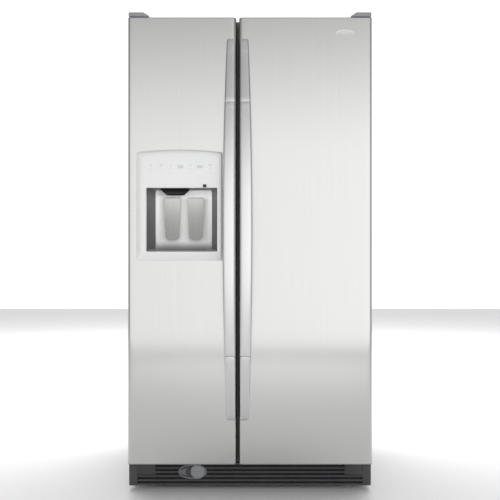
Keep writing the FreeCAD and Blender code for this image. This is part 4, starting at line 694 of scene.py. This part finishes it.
def dispenser_bezel():
    """A raised frame: a lip on the door, long bevels that are widest below, a flat face, and the mouth's
    return. Its upper edge is an arc: points between mouth and top rise by 10 mm * (1 - t * t) across the
    width."""
    low, high = corners("dispenser_bezel")
    mouth_low, mouth_high = MOUTH
    arch = 10
    top = high[2] - arch
    across = (low[0] + high[0]) / 2

    def ring(left, below, right, above, radius, level):
        flat = rectangle((low[0] + left, low[2] + below), (high[0] - right, top - above))
        return lift(rounded(flat, radius, run=24), level, "xz")

    def arched(points):
        share = np.clip((points[:, 2] - mouth_high[1]) / (top - mouth_high[1]), 0, 1)
        t = (points[:, 0] - across) / (high[0] - low[0]) * 2
        points[:, 2] += arch * (1 - t * t) * share
        return points

    front, door = low[1], high[1]
    mouth = (mouth_low[0] - low[0], mouth_low[1] - low[2], high[0] - mouth_high[0], top - mouth_high[1])
    rings = [
        ring(2, 2, 2, 2, 4, door + 0.5),
        ring(0, 0, 0, 0, 6, door - 0.2),
        ring(0, 0, 0, 0, 6, door - 3.5),
        ring(0.8, 0.8, 0.8, 0.8, 5, door - 4.6),
        ring(16, 27, 6, 7, 5, front + 1.0),
        ring(18, 28.5, 7, 8.5, 5, front),
        ring(*[gap - 2 for gap in mouth], 4, front),
        ring(*[gap - 0.6 for gap in mouth], 3.4, front + 0.6),
        ring(*mouth, 3, front + 2.2),
        ring(*mouth, 3, door + 9),
        ring(*[gap - 2 for gap in mouth], 3, door + 9),
    ]
    show("dispenser_frame", [loft([arched(points) for points in rings], wrap=True)], "dispenser_bezel")


def control_panel():
    """The panel above the mouth: a slightly domed plate with two rows of plain pads and lamps."""
    low, high = corners("dispenser_bezel")
    left, right = low[0] + 22, high[0] - 12
    base, top = MOUTH[1][1] + 10, high[2] - 22
    front = low[1]
    flat = rectangle((left, base), (right, top))
    centre = np.array([(left + right) / 2, (base + top) / 2])
    half = np.array([(right - left) / 2, (top - base) / 2])
    table = [(0, 0.3), (0, -0.5), (0.5, -1.0), (1.3, -1.25), (6, -1.5), (14, -2.1), (28, -2.6), (45, -2.8)]
    rings = []
    for inset, depth in table:
        points = lift(rounded(flat, 9, min(inset, half[1] - 4), run=20), front + depth, "xz")
        share = (points[:, 2] - base) / (top - base)
        points[:, 2] += 9 * share * (1 - ((points[:, 0] - centre[0]) / half[0]) ** 2)
        rings.append(points)
    piece("control_panel", [loft(rings)], "bezel_white", "freezer_door")

    marks = []
    places = np.linspace(left + 34, right - 34, 7)
    middles = [corners(node)[0][0] + 11 for node in ("lock_key", "select_key")]
    for count, place in enumerate(places):
        if min(abs(place - middle) for middle in middles) < 16:
            continue
        wide = 6.5 if count in (1, 3, 6) else 3.2
        marks.append(((place, base + 73), (wide, 2.2), 4.0))
        marks.append(((place, base + 62), (5, 0.8), 6.0))
        marks.append(((place, base + 46), (1.5, 1.5), 2.0))
    surfaces = []
    pad = ((1, -1.6), (1, -2.95), (0.9, -3.05))
    for place, reach, power in marks:
        table = [(reach[0] * share, reach[1] * share, front + depth) for share, depth in pad]
        surfaces.append(oval(place, table, count=20, power=power))
    piece("control_marks", surfaces, "key_grey", "freezer_door")


def keys():
    """The three keys: rounded caps with a dished middle."""
    for node in ("lock_key", "select_key", "light_key"):
        low, high = corners(node)
        flat = rectangle(low[[0, 2]], high[[0, 2]])
        shift = -1 if node == "light_key" else -2.2
        face, back = low[1] + shift, high[1] + shift - 3
        table = [(0.2, back), (0.2, face + 1), (0.6, face + 0.2), (1.3, face), (3.5, face + 0.5)]
        show(node + "_cap", [stack(flat, 3.5, table)], node)


def recess():
    """The moulded well: its sides lean in by a draft towards the back and its corners grow rounder."""
    mouth_low, mouth_high = MOUTH
    front, back = corners("dispenser_bezel")[1][1] + 1, RECESS_HIGH[1] - 3
    rings = []
    for t in np.linspace(0, 1, 10):
        flat = rectangle(mouth_low + t * np.array([DRAFT, 12]), mouth_high - t * np.array([DRAFT, 0]))
        rings.append(lift(rounded(flat, 3 + 9 * t, run=6), front + (back - front) * t, "xz"))
    rings = np.array(rings)
    closed = np.concatenate((rings, rings[:, :1]), 1)
    show("dispenser_well", [sheet(closed)], "dispenser_recess", wall=-1.2)


def well_back():
    """The pale back of the well, which sweeps forward into the drip tray: straight down, then a quarter
    circle, then the tray. Near each side it swells forward by a smooth step."""
    mouth_low, mouth_high = MOUTH
    door = corners("dispenser_bezel")[1][1]
    back = corners("dispenser_backplate")[1][1] - 0.5
    radius = 36
    tray = mouth_low[1] + 7
    turn = quarter(14)
    down = np.linspace(mouth_high[1] - 2, tray + radius, 8)
    line = np.concatenate((
        np.stack((np.full(len(down), back), down), 1)[:-1],
        np.stack((back - radius * (1 - np.cos(turn)), tray + radius * (1 - np.sin(turn))), 1),
        [[door + 26, tray - 1], [door + 8, tray - 2], [door + 2, tray - 5]],
    ))
    across = np.sin(np.linspace(-math.pi / 2, math.pi / 2, 49))
    centre, half = (mouth_low[0] + mouth_high[0]) / 2, (mouth_high[0] - mouth_low[0]) / 2
    swell = 9 * smooth(np.abs(across), 0.70, 0.92)
    upright = np.clip((line[:, 1:] - tray - 4) / radius, 0, 1)
    grid = np.empty((len(line), len(across), 3))
    grid[..., 1] = line[:, :1] - swell * upright
    depth = (grid[..., 1] - door - 1) / (back + 1.5 - door - 1)
    grid[..., 0] = centre + across * (half - 0.5 - DRAFT * np.clip(depth, 0, 1))
    grid[..., 2] = line[:, 1:]
    # Painted shade: the pale back is coloured darker towards the drip tray, where the well's top shades it.
    fade = tray_painted_shade("bezel_white", tray + 2, tray + 38)
    show("well_back", [sheet(grid)], "dispenser_backplate", wall=1.5, finish=fade)

    bars = []
    for place in np.linspace(door + 12, back - radius - 4, 7):
        reach = half * 0.7
        bars.append(box((centre - reach, place - 1.3, tray - 1), (centre + reach, place + 1.3, tray + 1.4),
                        0.8))
    piece("drip_grille", bars, "recess_grey", "freezer_door")


def lever(node):
    """A tapered cup with a rounded foot, a raised rim and upright ribs, on its arm and shaft."""
    low, high = corners(node)
    top = high[2] - 3
    centre = (low[0] + high[0]) / 2
    half, foot = (high[0] - low[0]) / 2, 25
    front = low[1]
    outline = [(centre - foot, low[2]), (centre + foot, low[2]), (centre + half, top), (centre - half, top)]
    radius = [15, 15, 3, 3]
    surfaces = [slab(outline, front + 1.5, front + 6, radius, 1.2, "xz")]
    rim = [(0, 5), (0, 0.8), (0.8, 0), (2.2, 0), (3, 0.8), (3, 3)]
    surfaces.append(stack(outline, radius, [(inset, front + level) for inset, level in rim], wrap=True))
    for share in np.linspace(-0.66, 0.66, 7):
        level = np.linspace(low[2] + 14, top - 8, 8)
        spread = foot + (half - foot) * (level - low[2]) / (top - low[2])
        section = ellipse((0, 0), (1.1, 1.0), 10)
        rings = np.empty((len(level), len(section), 3))
        rings[..., 0] = (centre + share * spread)[:, None] + section[:, 0]
        rings[..., 1] = front + 1.6 + section[:, 1]
        rings[..., 2] = level[:, None]
        surfaces.append(loft(rings))
    pivot = frame_joint(node + "_swing")
    surfaces.append(lathe([(3, pivot[0] - half + 2), (3, pivot[0] + half - 2)], pivot[1:3], "yz", 24))
    surfaces.append(box((centre - 15, front + 5, top - 7), (centre + 15, pivot[1], top + 1), 1))
    show(node + "_cup", surfaces, node)


# Base.

def grille():
    """Six louvre blades between two end blocks, and the oval surround of the filter. A blade stops where it
    meets the oval, at centre -+ reach * sqrt(1 - (height / rise) ** 2)."""
    low, high = corners("base_grille")
    cap = frame_joint("filter_cap_turn")
    centre = (cap[0] - 19, cap[2])
    rim = 4.6
    reach, rise = 57.5 - rim, high[2] - cap[2] - rim
    front = low[1] + 3
    block = 32
    surfaces = [box((low[0] + 2, high[1] - 5, low[2]), (high[0] - 2, high[1], high[2] - 8), 1)]
    for start, end in ((low[0], low[0] + block), (high[0] - block, high[0])):
        surfaces.append(box((start, front, low[2]), (end, high[1] - 2, BRACKET[2] - 1.5), 2.5, "xz"))
    pitch = (high[2] - low[2] - 7) / 5
    for count in range(6):
        level = low[2] + 4 + pitch * count
        spans = [(low[0] + block - 2, high[0] - block + 2)]
        if level > BRACKET[2] - 4:
            spans = [(BRACKET[1] + 3, -BRACKET[1] - 3)]
        gap = 1 - ((level - centre[1]) / rise) ** 2
        if gap > 0:
            cut = (reach - 3) * math.sqrt(gap)
            spans = [(spans[0][0], centre[0] - cut), (centre[0] + cut, spans[0][1])]
        for start, end in spans:
            section = ellipse((front + 7, level), (7, 4.2), 20, 2.6)
            section[:, 1] += (section[:, 0] - front) * 0.25
            surfaces.append(loft([lift(section, place, "yz") for place in (start, end)]))
    table = [(0, 12), (0, 1.2), (-0.8, 0.2), (-2.4, -0.4), (-4, 0.4), (-rim, 2), (-rim, 12)]
    ring = oval(centre, [(reach + inset, rise + inset, front + level) for inset, level in table], wrap=True)
    surround = moulded("grey_trim", rough=0.4, name="surround_grey", shade=0.8)
    piece("filter_surround", [ring], "grey_trim", "cabinet", finish=surround)
    surfaces.append(oval(centre, [(reach - 4, rise - 4, front + level) for level in (5, 14)]))
    louvre = moulded("dark_trim", rough=0.3, mottle=0.1, name="louvre_black", shade=1.9)
    show("grille_louvres", surfaces, "base_grille", finish=louvre)


def filter_pieces():
    """The round cap with its finger ridge, the crescent button beside it, the cartridge and its sleeve."""
    low, high = corners("filter_cap")
    centre = np.array([(low[0] + high[0]) / 2, (low[2] + high[2]) / 2])
    radius = (high[0] - low[0]) / 2
    front = low[1] + 4
    dome = [(radius - 1, high[1]), (radius, high[1] - 2), (radius, front + 2), (radius - 1.2, front + 0.6),
            (radius - 4, front - 0.4), (radius * 0.5, front - 1.2), (radius * 0.1, front - 1.5)]
    surfaces = [lathe(dome, centre, "xz", 64)]
    ridge = rectangle(centre - (radius - 3, 3.2), centre + (radius - 3, 3.2))
    surfaces.append(slab(ridge, low[1], front + 2, 3.1, 1.6, "xz"))
    cap_grey = moulded("grey_trim", rough=0.36, name="cap_grey", shade=1.05)
    show("filter_round_cap", surfaces, "filter_cap", finish=cap_grey)

    low, high = corners("filter_eject_button")
    middle = (low[2] + high[2]) / 2
    half = (high[2] - low[2]) / 2
    angle = np.linspace(-1, 1, 15)
    hollow = np.stack((high[0] - 9 * (1 - angle ** 2) - 1, middle + half * angle), 1)
    bulge = np.stack((low[0] + (high[0] - low[0] - 2) * angle ** 2 * 0.86, middle - half * angle), 1)
    crescent = np.concatenate((hollow, bulge[1:-1]))
    inner = crescent + (np.array([(low[0] + high[0]) / 2 - 3, middle]) - crescent) * 0.10
    rings = [lift(crescent, high[1], "xz"), lift(crescent, low[1] + 1.2, "xz"), lift(inner, low[1], "xz")]
    crescent_grey = moulded("grey_trim", rough=0.4, name="crescent_grey", shade=0.55)
    show("filter_crescent", [loft(rings)], "filter_eject_button", finish=crescent_grey)

    low, high = corners("filter_cartridge")
    centre = (low[[0, 2]] + high[[0, 2]]) / 2
    can = [(8, 0), (8, 7), (21, 8), (23, 11), (23, 14), (22.2, 15), (22.2, 24), (23, 25), (23, 240),
           (22, 243), (19, 252), (12, 260), (8, 262), (8, 270)]
    profile = [(size, low[1] + level) for size, level in can]
    show("filter_can", [lathe(profile, centre, "xz")], "filter_cartridge")


def hinge_caps():
    """Low covers with a ramped inner end, on the cabinet's top corners."""
    low, high = corners("hinge_covers")
    surfaces = []
    for sign in (-1, 1):
        outer, wide = sign * high[0], 76
        shape = [(outer, low[2]), (outer - sign * wide, low[2]), (outer - sign * wide, low[2] + 4),
                 (outer - sign * (wide - 21), high[2]), (outer, high[2])]
        shape = shape if sign < 0 else shape[::-1]
        surfaces.append(slab(shape, low[1], high[1], 2.6, 2.4, "xz"))
        surfaces.append(lathe([(4, high[2] - 0.8), (4, high[2] - 0.1), (3, high[2] - 0.02)],
                              (outer - sign * 30, high[1] - 22), "xy", 20))
    show("hinge_caps", surfaces, "hinge_covers")


# Cabinet.

def wrapper():
    """One folded sheet: up the left side, over the top round two small corners, and down the right side."""
    low, high = corners("cabinet_wrapper")
    radius = 5
    turn = quarter(7)
    left = np.stack((low[0] + radius * (1 - np.cos(turn)), high[2] - radius * (1 - np.sin(turn))), 1)
    right = np.stack((-left[::-1, 0], left[::-1, 1]), 1)
    path = np.concatenate(([[low[0], low[2]]], left, right, [[high[0], low[2]]]))
    grid = np.array([lift(path, depth, "xz") for depth in np.linspace(low[1], high[1], 8)])
    show("cabinet_sheet", [sheet(grid)], "cabinet_wrapper", wall=1)


def back_panel():
    """The rear sheet, pressed inwards in two long rectangles: the press is a product of smooth steps."""
    low, high = corners("rear_panel")
    edge = 4

    def lines(start, end, borders, count):
        near = [place + shift * edge for place in borders for shift in np.linspace(-0.2, 1.2, 8)]
        return np.unique(np.round(np.concatenate((np.linspace(start, end, count), near)), 2))

    wide, tall = (low[0] + 40, -25, 25, high[0] - 40), (low[2] + 50, high[2] - 50)
    across = lines(low[0], high[0], [wide[0], wide[1] - edge, wide[2], wide[3] - edge], 24)
    up = lines(low[2], high[2], [tall[0], tall[1] - edge], 24)
    x, z = np.meshgrid(across, up)

    press = np.zeros_like(x)
    rise = smooth(z, tall[0], tall[0] + edge) * (1 - smooth(z, tall[1] - edge, tall[1]))
    for left, right in (wide[:2], wide[2:]):
        press += smooth(x, left, left + edge) * (1 - smooth(x, right - edge, right)) * rise
    grid = np.stack((x, high[1] - 0.05 - 0.6 * press, z), -1)
    screws = []
    for place in np.linspace(low[0] + 20, high[0] - 20, 6):
        for level in (low[2] + 14, high[2] - 14):
            head = [(4.5, high[1] - 0.6), (4.5, high[1] - 0.02), (3, high[1])]
            screws.append(lathe(head, (place, level), "xz", 12))
    show("rear_sheet", [sheet(grid[:, ::-1])], "rear_panel", wall=0.3)
    piece("rear_screws", screws, "bare_steel", "cabinet")


def wheels():
    """Nylon rollers: a tyre with two grooves and a dished hub."""
    for node in ("front_rollers", "rear_rollers"):
        low, high = corners(node)
        hub = ((low[1] + high[1]) / 2, (low[2] + high[2]) / 2)
        wide = 18
        half = [(4.2, 0.5), (9, 0.5), (10, 2.5), (17, 2.5), (18, 0), (20, 0), (22, 2), (22, 6), (21.2, 6.6),
                (21.2, 7.4), (22, 8)]
        shape = half + [(size, wide - level) for size, level in half[::-1]]
        surfaces = []
        for start in (low[0], high[0] - wide):
            profile = [(size, start + level) for size, level in shape]
            surfaces.append(lathe(profile, hub, "yz", 40, wrap=True))
        show(node + "_wheels", surfaces, node)


# Inside.

def drawers():
    """Clear drawers with rounded corners, a rolled rim and a white pull along the front."""
    for node in ("crisper_drawer", "deli_drawer", "freezer_basket", "ice_bin"):
        low, high = corners(node)
        face = low[1] + 8
        show(node + "_shell", [tub((low[0], face, low[2]), high, 2.6, 12, 4, 5)], node)
        pull = rectangle((low[0] + 8, high[2] - 26), (high[0] - 8, high[2] + 0.5))
        surfaces = [slab(pull, face - 3, face + 4.5, 4, 1.5, "xz")]
        hook = rectangle((low[0] + 20, high[2] - 14), (high[0] - 20, high[2] - 2))
        surfaces.append(slab(hook, low[1], face, 4, 2, "xz"))
        piece(node + "_pull", surfaces, "frame_white", node)


def door_bins():
    """Clear bins on the doors, one for each that the CAD has, with a white band along the front rim."""
    for side in ("freezer", "fridge"):
        node = side + "_door_bins"
        low, high = corners(node)
        shells, bands = [], []
        for name, (start, end) in OPENINGS.items():
            if not name.startswith(side + "_door_bin"):
                continue
            base = start[2] - 6.5
            top = end[2] + 1
            back = end[1] + 6.5
            shells.append(tub((low[0], low[1], base), (high[0], back, top), 2.4, 10, 2, 5))
            band = rectangle((low[0] + 6, top - 22), (high[0] - 6, top + 0.4))
            bands.append(slab(band, back - 2.5, back - 0.2, 5, 1, "xz"))
        if side == "fridge":
            start, end = OPENINGS["dairy_box_inside"]
            case = [(0, end[1] + 1), (0, low[1] + 2), (2, low[1]), (40, low[1]), (40, low[1] + 2),
                    (4, low[1] + 2.4), (2.4, low[1] + 4), (2.4, end[1] + 1)]
            flat = rectangle((low[0], start[2] - 6), (high[0], end[2] + 12))
            shells.append(stack(flat, 8, case, wrap=True))
        show(side + "_bins", shells, node)
        piece(side + "_bin_bands", bands, "frame_white", side + "_door")


def knobs():
    """Round knobs with a raised grip and a pointer line."""
    for node in ("fridge_control_knob", "freezer_control_knob"):
        low, high = corners(node)
        centre = (low[[0, 2]] + high[[0, 2]]) / 2
        radius = (high[0] - low[0]) / 2
        skirt = [(radius - 1, high[1]), (radius, high[1] - 1), (radius, high[1] - 4),
                 (radius - 3, high[1] - 7), (radius - 4, low[1] + 5), (radius - 5, low[1] + 4),
                 (2, low[1] + 3.6)]
        grip = rectangle(centre - (radius - 4, 3), centre + (radius - 4, 3))
        surfaces = [lathe(skirt, centre, "xz"), slab(grip, low[1], low[1] + 6, 2.8, 1.2, "xz")]
        show(node + "_dial", surfaces, node)


def dairy_flap():
    """The clear lid of the dairy box, with a finger lip along its lower edge."""
    low, high = corners("dairy_lid")
    flat = rectangle(low[[0, 2]], high[[0, 2]] - (0, 3))
    surfaces = [slab(flat, low[1] + 0.5, high[1] - 1.5, 6, 1.2, "xz")]
    surfaces.append(lathe([(2.8, low[0] + 1), (2.8, high[0] - 1)],
                          ((low[1] + high[1]) / 2, high[2] - 3), "yz", 20))
    show("dairy_flap", surfaces, "dairy_lid")


def wire_racks():
    """Coated wire racks: a round rim, two rods across underneath, and thin wires from front to back on
    top."""
    points = np.array([vertex.co for vertex in frame["nodes"]["freezer_shelves"].data.vertices]) / MM
    # A rack's corners lie at three heights: under its rim, under its bars, and on top.
    heights = np.unique(np.round(points[:, 2], 1))
    low, high = points.min(0), points.max(0)
    thick, thin, rim = 3.4, 1.5, 4
    turn = np.linspace(0, TURN, 14, endpoint=False)
    surfaces = []
    for top in heights[2::3]:
        back = points[np.abs(points[:, 2] - top) < 0.1][:, 1].max()
        level = top - thick
        profile = [(rim + thick * math.cos(a), level + thick * math.sin(a)) for a in turn]
        surfaces.append(stack(rectangle(low[:2], (high[0], back)), 16, profile, "xy", wrap=True))
        for place in np.linspace(low[0] + 14, high[0] - 14, 19):
            ends = [(thin, low[1] + rim), (thin, back - rim)]
            surfaces.append(lathe(ends, (place, top - thin), "xz", 10))
        for place in np.linspace(low[1], back, 4)[1:-1]:
            ends = [(2.2, low[0] + rim), (2.2, high[0] - rim)]
            surfaces.append(lathe(ends, (place, top - 2 * thin - 2), "yz", 12))
    show("wire_racks", surfaces, "freezer_shelves")


def eased_nodes():
    """The plain pieces keep their CAD shape, with eased edges."""
    edges = {
        "freezer_liner": 2.5, "fridge_liner": 2.5, "shelf_frames": 1.2, "shelf_glass": 0.8,
        "door_hinges": 0.8, "machine_cover": 0.4, "base_frame": 0.6, "mullion_rail": 0.4,
        "ice_maker": 1.5, "control_housing": 3.0, "condenser": 0.3, "compressor": 1.5, "condenser_fan": 0.4,
        "water_valve": 0.8, "left_leveling_leg": 0.8, "right_leveling_leg": 0.8, "filter_housing": 0.4,
    }
    for node, edge in edges.items():
        softened(node, edge)
    softened("ice_chute", 1, moulded("dark_trim", rough=0.85, name="chute_black", shade=0.3, shine=0.12))


def plain_nodes():
    """Each CAD node that is left, such as the insulation, takes the finish of its slot."""
    for node, item in frame["nodes"].items():
        item.data.materials.clear()
        item.data.materials.append(FINISHES[SLOT_OF[node]])


# Studio.

def studio():
    """A pale floor, a white surround that is brightest at door height in front of the object, and soft
    lamps."""
    reach = 6.0
    near, far = -4.7, 9.0
    points = np.array([[[-reach, near, 0], [reach, near, 0]], [[-reach, far, 0], [reach, far, 0]]], float)
    mesh = bpy.data.meshes.new("floor")
    place, faces = sheet(points)
    mesh.from_pydata(place.tolist(), [], faces)
    floor = placed("floor", mesh)
    finish = Finish("pale_floor")
    cloud = finish.noise(0.8, 4)
    tone = finish.mix(cloud, (0.78, 0.78, 0.78, 1), (0.82, 0.82, 0.82, 1))
    mesh.materials.append(finish.set(Base_Color=tone, Roughness=cloud * 0.1 + 0.6))

    world = bpy.data.worlds.new("surround")
    bpy.context.scene.world = world
    around = Nodes(world)
    way = around.node("TexCoord", output="Generated")
    axes = around.node("SeparateXYZ", values={"Vector": way}).socket.node.outputs
    right, front, high = (Wire(around.tree, axis) for axis in axes)
    glow = around.band(high, 0.10, 0.36, 1.0, 0.44) * around.band(high, 0.5, 0.9, 1.0, 0.55)
    glow = glow * around.band(abs(right), 0.45, 0.9, 1.0, 0.35) * around.band(right, -0.3, 0.3, 0.89, 1.09)
    ahead = around.band(front, -0.2, 0.2, 1.0, 0.0)
    behind = around.band(abs(right), 0.4, 0.85, BACK_GLOW, BACK_GLOW * 0.6)
    light = glow * FRONT_GLOW * ahead + (1 - ahead) * behind
    plug(around.tree, light, around.tree.nodes["Background"].inputs["Color"])

    def lamp(name, place, aim, size, power):
        """A rectangular soft lamp at a place, turned to its aim. Polished surfaces don't mirror it."""
        light = bpy.data.lights.new(name, "AREA")
        light.shape = "RECTANGLE"
        light.size, light.size_y = size
        light.energy = power
        item = placed(name, light)
        item.location = place
        item.rotation_euler = (Vector(aim) - Vector(place)).to_track_quat("-Z", "Y").to_euler()
        item.visible_camera = False
        item.visible_glossy = False
        return item

    lamp("front_fill", (0.3, -4.2, 1.5), (0, 0, 0.9), (2.4, 1.6), 38)
    lamp("far_floor_wash", (0, -4.5, 1.5), (0, -4.5, 0), (4.0, 0.8), 4.5)
    lamp("back_floor_wash", (0, 3.0, 2.6), (0, 2.6, 0), (6.0, 3.0), 190)
    middle = (MOUTH[0][0] + MOUTH[1][0]) / 2 * MM
    place = (middle, -0.372, MOUTH[1][1] * MM - 0.02)
    well = lamp("well_light", place, (middle, -0.275, 0.98), (0.2, 0.01), 0.10)
    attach(well, "freezer_door")


def camera():
    """Straight on, at the middle of the doors, three metres away."""
    low, high = CAD_BOX
    distance, sensor = 3.0, 36.0
    # The object takes up this share of the picture's height.
    share = 0.962
    frame_height = (high[2] - low[2]) / share
    data = bpy.data.cameras.new("camera")
    data.sensor_width = sensor
    data.lens = sensor * distance / frame_height
    item = placed("camera", data)
    door = corners("fridge_door_skin")[0][1] * MM
    # The picture's middle is a little above the object's.
    item.location = (0, door - distance, (high[2] - low[2]) / 2 + 8 * MM)
    item.rotation_euler = (math.pi / 2, 0, 0)
    bpy.context.scene.camera = item
    bpy.context.scene.view_settings.view_transform = "Standard"


def main():
    plain_nodes()
    # The skin's window stands clear of the mouth all round.
    window = (MOUTH[0] - 9, MOUTH[1] + 9)
    door_skin("freezer", window)
    door_skin("fridge")
    for side in ("freezer", "fridge"):
        door_end_caps(side)
        door_seal(side)
        handle(side)
    liner_low, liner_high = corners("freezer_door_liner")
    # The liner's bulge goes round the well and, above it, the ice chute.
    bulge = (
        np.array([RECESS_LOW[0] + 2, liner_low[1], RECESS_LOW[2] - 22]),
        np.array([RECESS_HIGH[0] + 22, liner_high[1], RECESS_HIGH[2] + 161]),
    )
    door_inner("freezer", bulge)
    door_inner("fridge")
    emblem()
    dispenser_bezel()
    control_panel()
    keys()
    recess()
    well_back()
    lever("ice_paddle")
    lever("water_paddle")
    grille()
    filter_pieces()
    hinge_caps()
    wrapper()
    back_panel()
    wheels()
    drawers()
    door_bins()
    knobs()
    dairy_flap()
    wire_racks()
    eased_nodes()
    studio()
    camera()


main()
